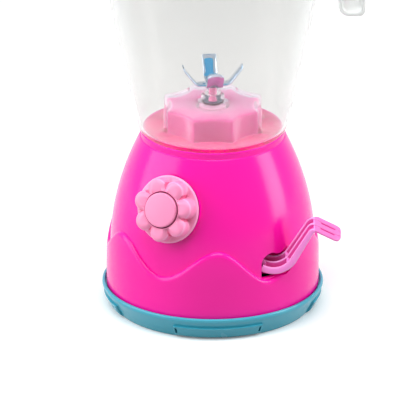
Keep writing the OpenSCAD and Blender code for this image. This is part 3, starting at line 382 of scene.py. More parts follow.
def sharpen(ob, degrees):
    """Smooth shading that keeps the edges that are sharper than the given angle."""
    me = ob.data
    bm = bmesh.new()
    bm.from_mesh(me)
    for e in bm.edges:
        if len(e.link_faces) == 2:
            e.smooth = e.calc_face_angle(0) < math.radians(degrees)
    for f in bm.faces:
        f.smooth = True
    bm.to_mesh(me)
    bm.free()

# ---------------------------------------------------------------- base dish
def dish_at(z):
    return DISH_FOOT_R + (DISH_R - 0.6 - DISH_FOOT_R) * (z - 0.8) / (DISH_H - 3.2 - 0.8)


def base_dish():
    rim_in = DOME_R + SKIRT_PROUD + 0.9
    outer = [(0.01, 0), (30, 0), (DISH_FOOT_R - 1.2, 0), (DISH_FOOT_R - 0.4, 0.25), (DISH_FOOT_R, 0.9)]
    outer += [(dish_at(z), z) for z in (2, 3.25, 3.45, 5, 6.2, 7.1, 7.3)]
    outer += [(dish_at(z), z) for z in (PANEL_H - 0.45, PANEL_H - 0.2, PANEL_H, PANEL_H + 0.3, 10, 11, 12)]
    outer += [(DISH_R - 0.15, DISH_H - 2.3), (DISH_R, DISH_H - 1.5), (DISH_R - 0.1, DISH_H - 0.7),
              (DISH_R - 0.5, DISH_H - 0.15), (DISH_R - 1.0, DISH_H), (rim_in + 0.3, DISH_H), (rim_in, DISH_H - 0.3),
              (rim_in, SHELL_FOOT_H + 0.1)]
    inner = [(64.5, SHELL_FOOT_H), (60.8, 8), (58.6, 3.4), (57.4, 2.6), (30, 2.6), (0.01, 2.6)]
    # Columns are packed at the clip panels' ends, so that their sides stand up crisply
    ends = [PANEL_TURN + 90 * i + s * PANEL_HALF for i in range(4) for s in (-1, 1)]
    cols = list(np.linspace(0, 360, 240, endpoint=False))
    for e in ends:
        s = 1 if (e - PANEL_TURN) % 90 < 45 else -1
        cols = [c for c in cols if abs((c - e + s * 1.2 + 180) % 360 - 180) > 1.6]
        cols += [(e - s * d) % 360 for d in (-0.3, -0.05, 0.1, 0.25, 0.7, 0.82, 0.94, 1.4, 1.86, 1.98, 2.1, 2.5)]
    cols = np.array(sorted(cols))

    def panel(az, z):
        d = min(abs((az - PANEL_TURN - 90 * i + 180) % 360 - 180) for i in range(4))
        side = min(1.0, max(0.0, (PANEL_HALF + 0.02 - d) / 0.3))
        up = min(1.0, max(0.0, (PANEL_H - z) / 0.4)) * min(1.0, max(0.0, (z - 0.4) / 1.2))
        if 3.4 < z < 7.2 and PANEL_HALF - 1.9 < d < PANEL_HALF - 0.9:
            return -PANEL_SLOT
        return PANEL_PROUD * side * up

    rows = []
    for r, z in outer:
        row = []
        for az in cols:
            rr = r + (panel(az, z) if r > 60 else 0)
            a = math.radians(az - 90)
            row.append((rr * math.cos(a), rr * math.sin(a), z))
        rows.append(row)
    for r, z in inner:
        rows.append([(r * math.cos(math.radians(az - 90)), r * math.sin(math.radians(az - 90)), z) for az in cols])
    sharpen(ringed("base_dish_skin", rows, M_TEAL, "base", slot="teal_plastic", replaces=("base_dish",)), 24)


# ---------------------------------------------------------------- body shell
def body_shell():
    cols = 432
    az = np.linspace(-180, 180, cols, endpoint=False)
    w = np.array([wave_at(a) for a in az])
    ang = np.radians(az - 90)
    ca, sa = np.cos(ang), np.sin(ang)
    dome = np.vectorize(dome_at)
    rows = []

    def row(r, z):
        r = np.broadcast_to(np.asarray(r, float), (cols,))
        z = np.broadcast_to(np.asarray(z, float), (cols,))
        rows.append(np.stack([r * ca, r * sa, z], 1))

    edge = 3.2
    row(DOME_R + SKIRT_PROUD - 0.5, SHELL_FOOT_H)
    row(DOME_R + SKIRT_PROUD - 0.1, SHELL_FOOT_H + 0.2)
    row(DOME_R + SKIRT_PROUD, SHELL_FOOT_H + 0.7)
    for t in np.linspace(0.05, 1, 14):
        z = SHELL_FOOT_H + 0.7 + (w - edge - SHELL_FOOT_H - 0.7) * t
        row(dome(z) + SKIRT_PROUD, z)
    for t in np.radians([9, 18, 27, 36, 45, 54, 63, 72, 81, 87]):
        z = w - edge + edge * math.sin(t)
        row(dome(z) + SKIRT_PROUD * math.cos(t), z)
    row(dome(w) + 0.03, w + 0.02)
    row(dome(w + 0.2), w + 0.2)
    z = w + 0.6
    row(dome(z), z)
    for t in np.linspace(0.03, 1, 40):
        z = w + 0.6 + (SHOULDER_H - w - 0.6) * t
        row(dome(z), z)
    # Shoulder: a small ledge, then an upright band up to the seat
    ledge = [(SHOULDER_R + 0.4, SHOULDER_H - 1.6), (SHOULDER_R + 0.05, SHOULDER_H),
             (SEAT_R - 0.1, SHOULDER_H + 0.5), (SEAT_R - 0.1, SEAT_H), (38, SEAT_H)]
    for r, z in rounded(ledge, [0, 0.5, 0.3, 0.5, 0], closed=False)[1:]:
        row(r, z)
    row(24, SEAT_H)
    low = SEAT_H - SHELL_WALL
    row(24, low)
    row(40, low)
    row(SEAT_R - 2.6, low - 0.4)
    for z in np.linspace(SHOULDER_H - 3, SHELL_FOOT_H + 2, 24):
        row(dome_at(z) - SHELL_WALL, z)
    row(DOME_R - SHELL_WALL, SHELL_FOOT_H)
    ob = ringed("body_shell_skin", rows, M_PINK, "base", wrap=True, slot="pink_plastic", replaces=("body_shell",))
    # Dial's seat, and the window for the lever
    ob.parent = None
    turns = np.linspace(0, 2 * math.pi, 128, endpoint=False)
    for r0, z0, z1, op in ((DISC_R - 0.5, -7.5, DIAL_SEAT, "UNION"), (DISC_R + 0.9, DIAL_SEAT, 12, "DIFFERENCE")):
        rings = [on_dial((r0 * math.cos(a), r0 * math.sin(a), z)) for z in (z0, z1) for a in turns]
        cut(ob, rings, prism_faces(len(turns)), op)
    outline = window_outline()
    cut(ob, [(x, y, z) for y in (-90, WINDOW_DEEP) for x, z in outline], prism_faces(len(outline)))
    # Room for the lever's inner end behind the window's left edge
    xs, zs = (PIVOT_X + 5.1, PIVOT_X + 11.1), (PIVOT_H - 12.5, PIVOT_H - 1.5)
    cut(ob, box_points(xs, (-55.9, WINDOW_DEEP), zs), BOX_FACES)
    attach(ob, "base")
    sharpen(ob, 42)
    # Screw posts inside
    for k, (x, y) in enumerate(((45.8, -28.6), (-45.8, -28.6), (38.2, 38.2), (-38.2, 38.2))):
        post = lathe(f"shell_post_{k}", [(1.5, 12.6), (4.1, 12.6), (4.4, 13), (4.4, 39.6), (4.0, 40), (1.5, 40)],
                     M_PINK, "base", cols=40, wrap=True, slot="pink_plastic")
        post.data.transform(Matrix.Translation((x * MM, y * MM, 0)))


def window_outline():
    """The lever's window: straight on the left, round above the lever's bend, then along the lever's upper side."""
    left, low, r = PIVOT_X + 8.5, PIVOT_H - 13.1, 6.6
    cx, cz = left + r, PIVOT_H - 4.2
    pts = [(left, low)]
    for a in np.linspace(180, 84, 13):
        pts.append((cx + r * math.cos(math.radians(a)), cz + r * math.sin(math.radians(a))))
    rise = [(17.9, 1.3), (19.6, 0.9), (21.2, 1.4), (23.4, 3.2), (25.3, 5.6), (27.5, 8.2), (31, 8.5), (31, -8)]
    return pts + [(PIVOT_X + x, PIVOT_H + z) for x, z in rise] + [(PIVOT_X + 24, low - 0.2)]

def window_guard():
    """A wall inside the body, just behind the lever, that closes the view into the gears."""
    outline = rounded([(29, 35), (46, 35), (45.4, 57), (29, 57)], [1, 1, 3, 3])
    prism_xz("window_guard", outline, -41.8, -40.8, M_PINK, "base", bevel=0.3, slot="pink_plastic")


# ---------------------------------------------------------------- fluted boss and jar's well
def fluted(grow):
    """The boss's fluted outline, grown outwards, with round ribs between hollow faces."""
    soft = 1.2
    rib = RIB_R + 0.8
    half, sag = rib * math.sin(math.pi / FLUTES), rib * math.cos(math.pi / FLUTES) - FLUTE_IN_R
    fr = (half * half + sag * sag) / (2 * sag)
    d, rho, big = FLUTE_IN_R + fr, fr - grow, RIB_R + grow
    out = []
    for k in range(RING_COLS):
        a = 2 * math.pi * k / RING_COLS
        rel = (a + math.pi / 2) % (2 * math.pi / FLUTES)
        rel = min(rel, 2 * math.pi / FLUTES - rel)
        under = rho * rho - (d * math.sin(rel)) ** 2
        r1 = d * math.cos(rel) - math.sqrt(under) if under > 0 else 99
        # smooth minimum, so that the ribs' edges are round
        h = max(0.0, min(1.0, 0.5 + 0.5 * (r1 - big) / soft))
        r = r1 * (1 - h) + big * h - soft * h * (1 - h)
        out.append((r * math.cos(a), r * math.sin(a)))
    return np.array(out)


def fluted_row(grow, z):
    return np.column_stack([fluted(grow), np.full(RING_COLS, z)])

def ring_row(r, z):
    t = 2 * math.pi * np.arange(RING_COLS) / RING_COLS
    return np.stack([r * np.cos(t), r * np.sin(t), np.full(RING_COLS, float(z))], 1)

def boss():
    rows = [fluted_row(0, SEAT_H - 1.5), fluted_row(0, SEAT_H + 0.1)]
    for z in np.linspace(SEAT_H + 2, BOSS_TOP - 1.4, 6):
        rows.append(fluted_row(0, z))
    for t in np.radians([20, 45, 70, 90]):
        rows.append(fluted_row(-1.2 * (1 - math.cos(t)), BOSS_TOP - 1.2 + 1.2 * math.sin(t)))
    rows += [ring_row(18, BOSS_TOP), ring_row(11.4, BOSS_TOP), ring_row(11, BOSS_TOP - 0.4),
             ring_row(11, BOSS_TOP - 11), ring_row(13, BOSS_TOP - 13), ring_row(20, BOSS_TOP - 15.5)]
    ringed("boss_skin", rows, M_BOSS, "base", wrap=True, slot="pink_plastic")


def jar():
    g_in, g_out = WELL_GAP, WELL_GAP + WELL_WALL
    rows = [ring_row(4.05, WELL_TOP_IN), ring_row(14, WELL_TOP_IN), fluted_row(g_in - 0.8, WELL_TOP_IN),
            fluted_row(g_in - 0.2, WELL_TOP_IN - 0.2), fluted_row(g_in, WELL_TOP_IN - 0.9)]
    for z in np.linspace(WELL_TOP_IN - 3, SEAT_H + 1, 5):
        rows.append(fluted_row(g_in, z))
    rows += [fluted_row(g_in + 0.15, SEAT_H + 0.2), fluted_row(g_in + 0.6, SEAT_H)]
    rows.append(ring_row(jar_at(SEAT_H) - 1.6, SEAT_H))
    rows += [ring_row(jar_at(SEAT_H) - 0.7, SEAT_H + 0.12)]
    heights = [SEAT_H + h for h in (0.4, 0.8, 1.3, 1.9, 2.7, 3.6, 6)]
    heights += list(np.linspace(SEAT_H + 10, JAR_TOP - 4.5, 30))
    rows += [ring_row(jar_at(z), z) for z in heights]
    top = jar_at(JAR_TOP)
    for r, z in rounded([(jar_at(JAR_TOP - 4), JAR_TOP - 4), (top + 1.2, JAR_TOP - 3), (top + 1.2, JAR_TOP),
                         (top - JAR_WALL, JAR_TOP), (top - JAR_WALL - 0.6, JAR_TOP - 4)], [0.3, 0.8, 1.0, 1.0, 0.3],
                        n=5, closed=False):
        rows.append(ring_row(r, z))
    for z in list(np.linspace(JAR_TOP - 8, SEAT_H + 10, 28)) + [SEAT_H + 7, SEAT_H + 4.8]:
        rows.append(ring_row(jar_at(z) - JAR_WALL, z))
    r0 = jar_at(SEAT_H + 3.2) - JAR_WALL
    rows += [ring_row(r0 - 0.5, SEAT_H + 3.2), ring_row(r0 - 1.4, SEAT_H + 2.5), ring_row(r0 - 2.6, SEAT_H + 2.2)]
    rows += [fluted_row(g_out + g, SEAT_H + h) for g, h in ((0.9, 2.2), (0.2, 2.5), (0, 3.4))]
    for z in np.linspace(SEAT_H + 5, WELL_TOP - 2, 5):
        rows.append(fluted_row(g_out, z))
    for t in np.radians([0, 22, 45, 68, 90]):
        rows.append(fluted_row(g_out - 1.3 * (1 - math.cos(t)), WELL_TOP - 1.3 + 1.3 * math.sin(t)))
    rows += [ring_row(16, WELL_TOP), ring_row(4.05, WELL_TOP)]
    ob = ringed("jar_skin", rows, M_JAR, "jar", wrap=True, slot="clear_plastic", replaces=("jar",))
    ob.data.materials.append(M_WELL)
    for p in ob.data.polygons:
        c = p.center
        if math.hypot(c.x, c.y) < WELL_REACH * MM and c.z < (WELL_TOP + 0.5) * MM:
            p.material_index = 1


# ---------------------------------------------------------------- handle
def handle():
    """A hooked grip: a closed band round a web, its long edges rounded, and the jar's lug that carries it."""
    right, left = HANDLE_REACH, HANDLE_REACH - HANDLE_LEG
    top, low = JAR_TOP - 4, HANDLE_END_H
    lug_z = JAR_TOP - 22
    lug_x = jar_at(lug_z + LUG_H) + 4.5
    arm_low, arm_left = lug_z - 4, lug_x - 3.2

    def band(inset, depth):
        r, l, t, b = right - inset, left + inset, top - inset, low + inset
        pts = [(l, b), (r, b), (r, t), (arm_left + inset, t), (arm_left + inset, arm_low + inset),
               (l, arm_low + inset)]
        hook = rounded(pts, [6.5 - inset * 0.6, 3.5, 12 - inset, 1.2, 1.2, 3.5 + inset], n=8)
        return [(x, depth, z) for x, z in hook]

    half, lip = HANDLE_W / 2, HANDLE_LIP
    section = [(lip, 1.3), (lip, half - 0.9), (lip - 0.2, half - 0.3), (lip - 0.8, half), (0.8, half),
               (0.25, half - 0.25), (0, half - 0.8)]
    rows = [band(i, d) for i, d in section] + [band(i, -d) for i, d in section[::-1]]
    ringed("handle_skin", rows, M_MILKY, "jar", slot="milky_plastic", replaces=("jar_handle",))
    lug = box_points((jar_at(lug_z) - 0.7, lug_x), (-LUG_HALF_W, LUG_HALF_W), (lug_z, lug_z + LUG_H))
    soften(make("jar_lug", lug, BOX_FACES, M_JAR, "jar", slot="clear_plastic"), 0.6)

# ---------------------------------------------------------------- lever
def lever_path():
    """Stations along the lever, from the pivot. Each holds x, z, direction, half depth, share of the pad, groove
    depth and the way that is left to the end."""
    cx, cz, r, b = 16.0, 5.5, 13.3, 4.0
    s, f = math.radians(LEVER_SLOPE), math.radians(PAD_FALL)
    root, rise, pad, no_end = 3.2, 2.5, 1.9, 99

    def open_at(q, start, end, soft):
        """1 within a span, falling to 0 at both its ends."""
        return min(1.0, max(0.0, (q - start) / soft)) * min(1.0, max(0.0, (end - q) / soft))

    way = []
    for a in np.radians(np.linspace(-121.5, LEVER_SLOPE - 90, 76)):
        o = 1 - open_at(math.degrees(a), -49.6, -41.0, 1.6)
        way.append((cx + r * math.cos(a), cz + r * math.sin(a), a + math.pi / 2, root, 0.0, o, no_end))
    e = np.array([cx + r * math.sin(s), cz - r * math.cos(s)])
    q = e + LEVER_RISE * np.array([math.cos(s), math.sin(s)])
    for t in np.linspace(0, 1, 30)[1:]:
        p = e + t * (q - e)
        way.append((p[0], p[1], s, root + (rise - root) * t, 0.0, 1.0, no_end))
    m = q + b * np.array([math.sin(s), -math.cos(s)])
    for a in np.linspace(s + math.radians(86), math.pi / 2 - f, 20):
        k = (s + math.pi / 2 - a) / (s + f)
        o = min(1.0, max(0.0, (0.56 - k) / 0.1))
        depth = rise + (pad - rise) * k
        way.append((m[0] + b * math.cos(a), m[1] + b * math.sin(a), a - math.pi / 2, depth, k, o, no_end))
    p0 = m + b * np.array([math.sin(f), math.cos(f)])
    total = PAD_LEN + pad
    along = list(np.arange(0.35, total - 4.2, 0.35))
    along += [total - v for v in (4, 3.4, 2.8, 2.2, 1.7, 1.2, 0.8, 0.5, 0.25, 0.08)]
    for q in along:
        left = total - q
        h = pad * math.sqrt(max(0.0, 1 - max(0.0, 1 - left / pad) ** 2))
        p = p0 + q * np.array([math.cos(f), -math.sin(f)])
        way.append((p[0], p[1], -f, max(h, 0.35), 1.0, 0.9 * open_at(q, 1.3, 12.0, 0.9), left))
    return way


def lever():
    rows, marks = [], []
    for x, z, a, h, pad, groove, left in lever_path():
        k = min(1.0, max(0.0, pad * 1.7 - 0.6))
        k = k * k * (3 - 2 * k)
        wall = LEVER_WALL + (PAD_WALL - LEVER_WALL) * k
        gap = (LEVER_W - 3 * wall) / 2
        # Each wall's top stands higher than the one in front of it; on the pad they make one slanting face
        tops = [-h + 2 * h * (arm * (1 - k) + (1.5 / max(2 * h, 1.5) * (1 - n / 2) + n / 2) * k)
                for n, arm in enumerate((0.70, 0.86, 1.0))]
        slab = [-h + max(0.0, 2 * h - 1.9) * k * n / 2 for n in range(3)]
        thin = min(t - b for t, b in zip(tops, slab))
        e = min(0.7, thin * 0.42, wall * 0.34)
        # Points of the rounded edges are listed for a painted highlight colour, and points in the grooves for a painted
        # shade colour
        sect, light, painted_shade = [], [], []

        def point(u, v, n, look=None):
            if look is not None:
                look.append(len(sect))
            sect.append((u, v, n))

        u = 0.0
        for n in range(3):
            u0, u1 = u, u + wall
            top, low = tops[n], slab[n]
            lean = (tops[2] - tops[0]) / LEVER_W * k
            rise = lean * wall
            if n == 0:
                point(u0 + e, low, n, light)
                point(u0 + e * 0.3, low + e * 0.3, n, light)
                point(u0, low + e, n)
            point(u0, top - e, n, light)
            point(u0 + e * 0.3, top - e * 0.3, n, light)
            point(u0 + e, top, n, light)
            point(u1 - e, top + rise * 0.8, n, light)
            point(u1 - e * 0.3, top + rise - e * 0.3, n, light)
            if n < 2:
                arm_deep = top + h - 1.5
                deep = (arm_deep * (1 - k) + min(1.2, thin - 0.35) * k - 0.1) * groove + 0.1
                floor = top + rise - deep
                point(u1, max(top + rise - e, floor + 0.04), n, painted_shade)
                g = min(0.25, gap * 0.3)
                point(u1 + g * 0.2, floor + 0.02, n + 0.2, painted_shade)
                point(u1 + gap * 0.5, floor, n + 0.5, painted_shade)
                point(u1 + gap - g * 0.2, floor + 0.02, n + 0.8, painted_shade)
            else:
                point(u1, top + rise - e, n)
                point(u1, low + e, n, light)
                point(u1 - e * 0.3, low + e * 0.3, n, light)
                point(u1 - e, low, n)
            u += wall + gap
        point(LEVER_W * 0.5, slab[1], 1)
        marks.append((light, painted_shade if groove > 0.5 else [], k))
        end_r = LEVER_W / 2 - 0.3
        inset = end_r - math.sqrt(end_r ** 2 - (end_r - left) ** 2) if left < end_r else 0.0
        row = []
        for uu, v, n in sect:
            step = LEVER_STEP * (n * (1 - k) + 2 * uu / LEVER_W * k)
            yy = -LEVER_FRONT + LEVER_W / 2 + (uu - LEVER_W / 2) * (1 - inset / (LEVER_W / 2))
            row.append((PIVOT_X + x - v * math.sin(a), yy, PIVOT_H + z + v * math.cos(a) + step))
        rows.append(row)
    ob = ringed("lever_skin", rows, M_LEVER, "lever", slot="lever_plastic", replaces=("lever",))
    for mat in (M_LEVER_HIGHLIGHT, M_LEVER_GROOVE_SHADE, M_LEVER_PAD):
        ob.data.materials.append(mat)
    # Slots: plain; edge, the painted highlight on the rounded edges; groove, the painted shade in the grooves; pad
    plain, edge, groove, pad = range(4)
    cols = len(rows[0])
    for i, (light, painted_shade, k) in enumerate(marks[:-1]):
        for j in range(cols):
            look = groove if j in painted_shade else pad if k > 0.5 else edge if j in light else plain
            ob.data.polygons[i * cols + j].material_index = look
    sharpen(ob, 60)
    lever_root()

SECTOR_TEETH, MODULE, PRESSURE = 38, 1.5, math.radians(28)
ADD, DED, BACKLASH = 0.8 * MODULE, 1.05 * MODULE, 0.26


def involute(a):
    return math.tan(a) - a

def tooth(centre):
    """One involute tooth of the sector, as an outline round the angle centre."""
    r = SECTOR_TEETH * MODULE / 2
    base = r * math.cos(PRESSURE)

    def half(rho):
        roll = math.acos(min(1, base / max(rho, base)))
        return (math.pi * MODULE - BACKLASH) / 4 / r + involute(PRESSURE) - involute(roll)

    radii = [r - DED] + list(np.linspace(max(r - DED, base) + 0.01, r + ADD, 6))
    left = [(q * math.cos(centre - half(q)), q * math.sin(centre - half(q))) for q in radii]
    right = [(q * math.cos(centre + half(q)), q * math.sin(centre + half(q))) for q in radii[::-1]]
    return left + right

def lever_root():
    """The lever's hub, its neck and its toothed sector, which work inside the body."""
    front, back, hub_r = 51.575, 42.175, 5.4

    def part(name, outline, y0, y1, **kw):
        prism_xz(name, [(PIVOT_X + x, PIVOT_H + z) for x, z in outline], y0, y1, M_LEVER, "lever",
                 slot="lever_plastic", **kw)

    hub = [(hub_r * math.cos(t), hub_r * math.sin(t)) for t in np.linspace(0, 2 * math.pi, 48, endpoint=False)]
    part("lever_hub", hub, -front, -back, bevel=0.3, smooth=True)
    p = lever_path()[10]
    neck = [(1, 5), (p[0] - 2, p[1] + 5.6), (p[0], p[1] + 2), (p[0] - 1, p[1] - 2), (-1, -5.2)]
    part("lever_neck", neck, -front, -back, bevel=0.3)
    root = SECTOR_TEETH * MODULE / 2 - DED
    teeth = []
    for i in range(-2, 3):
        teeth += tooth(-math.pi / 2 + i * 2 * math.pi / SECTOR_TEETH)
    side0 = -math.pi / 2 - 2 * 2 * math.pi / SECTOR_TEETH - math.radians(5)
    side1 = -math.pi / 2 + 2 * 2 * math.pi / SECTOR_TEETH + math.radians(5)
    sector = [(0, 0), (root * math.cos(side0), root * math.sin(side0))] + teeth
    sector += [(root * math.cos(side1), root * math.sin(side1))]
    part("lever_sector", sector, -front + 1.5, -front + 7)

# ---------------------------------------------------------------- dial
def dial_frame():
    tilt = math.atan(2 * DOME_BOW * (DIAL_H - DOME_STRAIGHT_H))
    return (Matrix.Rotation(-math.radians(DIAL_AZIMUTH), 3, "Z"), Vector((0, -dome_at(DIAL_H), DIAL_H)),
            Matrix.Rotation(math.pi / 2 - tilt, 3, "X"))


def on_dial(p):
    turn, at, tilt = dial_frame()
    return tuple(turn @ (at + tilt @ Vector(p)))


def place(rows):
    return [[on_dial(tuple(p)) for p in r] for r in rows]

def smooth_max(a, b, k):
    h = max(0.0, min(1.0, 0.5 + 0.5 * (a - b) / k))
    return b * (1 - h) + a * h + k * h * (1 - h)

def petal_r(t, shrink):
    """Radius of the flower's outline at angle t, drawn in by shrink."""
    best = PETAL_PLACE_R - shrink
    for i in range(PETALS):
        d = t - math.radians(PETAL_TURN + i * 360 / PETALS)
        s = PETAL_PLACE_R * math.sin(d)
        rr = PETAL_R - shrink
        if abs(s) < rr and math.cos(d) > 0:
            best = smooth_max(best, PETAL_PLACE_R * math.cos(d) + math.sqrt(rr * rr - s * s), 0.7)
    return best

def dial():
    gap, disc, cols = 0.4, 3.3, 280
    low, top = DIAL_SEAT + gap + 0.5, DIAL_SEAT + gap + disc
    crown = top + PETAL_H
    ts = np.linspace(0, 2 * math.pi, cols, endpoint=False)
    # Petals' own swell: high over each petal's middle, with a dimple between two of them
    swell = [math.cos(PETALS * (t - math.radians(PETAL_TURN))) for t in ts]
    rows = []

    def lay(radii, heights):
        rows.append([(r * math.cos(t), r * math.sin(t), z) for r, z, t in zip(radii, heights, ts)])

    def circle(r, z):
        lay([r] * cols, [z] * cols)

    def petals(shrink, z, dip=0.0):
        inner = CAP_R + 1.1 + (4.4 - shrink) * 0.12
        lay([max(petal_r(t, shrink), inner) for t in ts], [z - dip * (1 - w) / 2 for w in swell])

    for r, z in ((0.01, low), (10, low), (DISC_R - 0.2, low), (DISC_R - 0.1, low + 1.3), (DISC_R, top - 1.0),
                 (DISC_R - 0.12, top - 0.55), (DISC_R - 0.45, top - 0.2), (DISC_R - 0.9, top)):
        circle(r, z)
    lay([min(DISC_R - 1.0, petal_r(t, -0.5)) for t in ts], [top + 0.05] * cols)
    petals(0, top + 0.5)
    petals(0, top + PETAL_H * 0.45)
    for shrink, drop, dip in ((0, 2.2, 0.5), (0.2, 1.6, 0.8), (0.5, 1.1, 1.0), (0.9, 0.7, 1.0), (1.4, 0.4, 0.9),
                              (2.2, 0.14, 0.6), (3.2, 0, 0.2), (4.4, 0, 0.0)):
        petals(shrink, crown - drop, dip)
    for r, drop in ((CAP_R + 1.0, 0.1), (CAP_R + 0.65, 0.2), (CAP_R + 0.55, 3.0), (0.01, 3.1)):
        circle(r, crown - drop)
    ob = ringed("dial_skin", place(rows), M_DIAL, "dial", caps=(False, False), slot="pale_pink_plastic",
                replaces=("flower_dial",))
    for mat in (M_DIAL_HIGHLIGHT, M_DIAL_NOTCH_SHADE, M_DIAL_GAP_SHADE):
        ob.data.materials.append(mat)
    plain, painted_highlight, deep, painted_shade = range(4)
    # Rows of faces: edges of disc and petals, which get a painted highlight; the petals' sides, whose notches get
    # painted shade; and the gaps below the disc and round the cap, painted dark as shadow
    edges, sides, gaps = (4, 5, 6, 12, 13), range(9, 14), (1, 2, len(rows) - 3, len(rows) - 2)
    for i in range(len(rows) - 1):
        for j in range(cols):
            # The petals' sides where the swell is lowest, in the notches, take the painted shade colour
            notch = i in sides and swell[j] < -0.86
            look = painted_shade if i in gaps else deep if notch else painted_highlight if i in edges else plain
            ob.data.polygons[i * cols + j].material_index = look
    shaft = [(4.0, low + 0.3), (4.0, -6.4), (3.6, -6.8), (1.35, -6.8), (1.35, low + 0.3)]
    ringed("dial_shaft", place(lathe_rows(shaft, 48)), M_DIAL, "dial", wrap=True, slot="pale_pink_plastic")
    # Cap
    c0, edge = crown - 1.6, 1.2
    prof = [(0.01, c0 - 1.3), (CAP_R - 0.2, c0 - 1.3), (CAP_R, c0 - 1.1), (CAP_R, c0 + 2.3)]
    prof += [(CAP_R - edge + edge * math.cos(a), c0 + 2.35 + edge * math.sin(a))
             for a in np.radians([15, 30, 45, 60, 75, 88])]
    prof += [(r, c0 + 3.55 + 0.45 * (1 - (r / (CAP_R - edge)) ** 2)) for r in (8.5, 7, 5.5, 4, 2.5, 1.2, 0.01)]
    ringed("dial_cap_skin", place(lathe_rows(prof, 128)), M_DIAL, "dial", caps=(False, False),
           slot="pale_pink_plastic", replaces=("dial_cap",))

# ---------------------------------------------------------------- blades
def blade_path():
    flat, b, tip_r = 8.0, 5.0, 6.0
    bend, straight, tip = math.radians(52), 9.5, math.radians(85)
    way = [(0.0, 0.0, 0.0), (4.0, 0.0, 0.0)]
    for a in np.linspace(0, bend, 9):
        way.append((flat + b * math.sin(a), b * (1 - math.cos(a)), a))
    p = np.array(way[-1][:2])
    q = p + straight * np.array([math.cos(bend), math.sin(bend)])
    for t in np.linspace(0.2, 0.8, 4):
        m = p + t * (q - p)
        way.append((m[0], m[1], bend))
    c = q + tip_r * np.array([-math.sin(bend), math.cos(bend)])
    for a in np.linspace(bend, tip, 8):
        way.append((c[0] + tip_r * math.sin(a), c[1] - tip_r * math.cos(a), a))
    return way


def blade(name, node, z0, turn, ends, wide):
    """A strip bent up at both ends. Each end is square, round or notched."""
    way = blade_path()
    both = [(-r, z, -a) for r, z, a in way[::-1]] + [(r, z, a) for r, z, a in way[1:]]
    # Distance of each station from its own end of the strip
    at = np.array([p[:2] for p in both])
    run = np.concatenate([[0], np.cumsum(np.linalg.norm(np.diff(at, axis=0), axis=1))])
    rows = []
    for k, (r, z, a) in enumerate(both):
        side = 0 if r < 0 else 1
        left = run[k] if side == 0 else run[-1] - run[k]
        half = BLADE_W / 2 + wide[side] * min(1.0, abs(r) / 9)
        if ends[side] == "round" and left < 4:
            half -= 4 - math.sqrt(16 - (4 - left) ** 2) if left > 0.05 else 2.6
            half = max(half, 1.8)
        elif left < 0.1:
            half -= 0.35
        e = 0.2
        sect = [(-half, e), (-half + e, 0), (0, 0), (half - e, 0), (half, e), (half, BLADE_T - e), (half - e, BLADE_T),
                (0, BLADE_T), (-half + e, BLADE_T), (-half, BLADE_T - e)]
        rows.append([(r - v * math.sin(a), u, z0 + z + v * math.cos(a)) for u, v in sect])
    ob = ringed(name, rows, M_CHROME, "blades", slot="chromed_blade", replaces=(node,))
    ob.parent = None
    for side in (0, 1):
        if ends[side] == "notch":
            r, z, a = both[0] if side == 0 else both[-1]
            cut(ob, box_points((r - 4, r + 4), (-2.9, -0.5), (z0 + z - 2.6, z0 + z + 3)), BOX_FACES)
    ob.data.transform(Matrix.Rotation(math.radians(turn), 4, "Z"))
    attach(ob, "blades")
    sharpen(ob, 50)


def blades():
    z = WELL_TOP + BLADE_LIFT
    blade("lower_blade_skin", "lower_blade", z, BLADE_TURN, ("notch", "round"), (-0.6, -0.8))
    blade("upper_blade_skin", "upper_blade", z + BLADE_T + 0.05, BLADE_TURN + 90, ("round", "square"), (0.6, 0.0))
    low = z + 2 * BLADE_T + 0.1
    hexa = [(4.2 * math.cos(a), 4.2 * math.sin(a)) for a in np.radians(np.arange(6) * 60 + BLADE_TURN)]
    vs = [(x, y, low + h) for h in (0, 2.4) for x, y in hexa]
    soften(make("nut_hex", vs, prism_faces(6), M_CHROME, "blades", slot="chromed_blade", replaces=("blade_nut",)), 0.35)
    dome = [(0.01, low + 2), (3.3, low + 2)]
    dome += [(3.3 * math.cos(a), low + 2 + 3.25 * math.sin(a)) for a in np.radians([12, 25, 38, 51, 64, 77, 86])]
    dome.append((0.01, low + 5.27))
    lathe("nut_dome", dome, M_CHROME, "blades", cols=64, caps=(False, False), slot="chromed_blade")


def collar():
    z, r, h = WELL_TOP, 7.25, 5.4
    prof = [(2.56, WELL_TOP_IN - 0.4), (4.0, WELL_TOP_IN - 0.4), (4.0, z), (r - 0.2, z), (r, z + 0.25)]
    prof += fillet((r, z + 2), (r, z + h), (2.6, z + h), 1.4) + [(3.0, z + h), (2.56, z + h - 0.4)]
    lathe("collar_skin", prof, M_COLLAR, "jar", cols=96, wrap=True, slot="milky_plastic", replaces=("spindle_collar",))
    # A dark ring, shaped as a bearing washer, at the collar's foot; it shows through the collar as painted shade there
    washer = [(2.6, z + 0.5), (4.9, z + 0.5), (5.1, z + 0.6), (5.1, z + 1.1), (4.9, z + 1.2), (2.6, z + 1.2)]
    lathe("collar_shade_washer", washer, M_WASHER_SHADE, "jar", cols=64, wrap=True, slot="screw_steel")


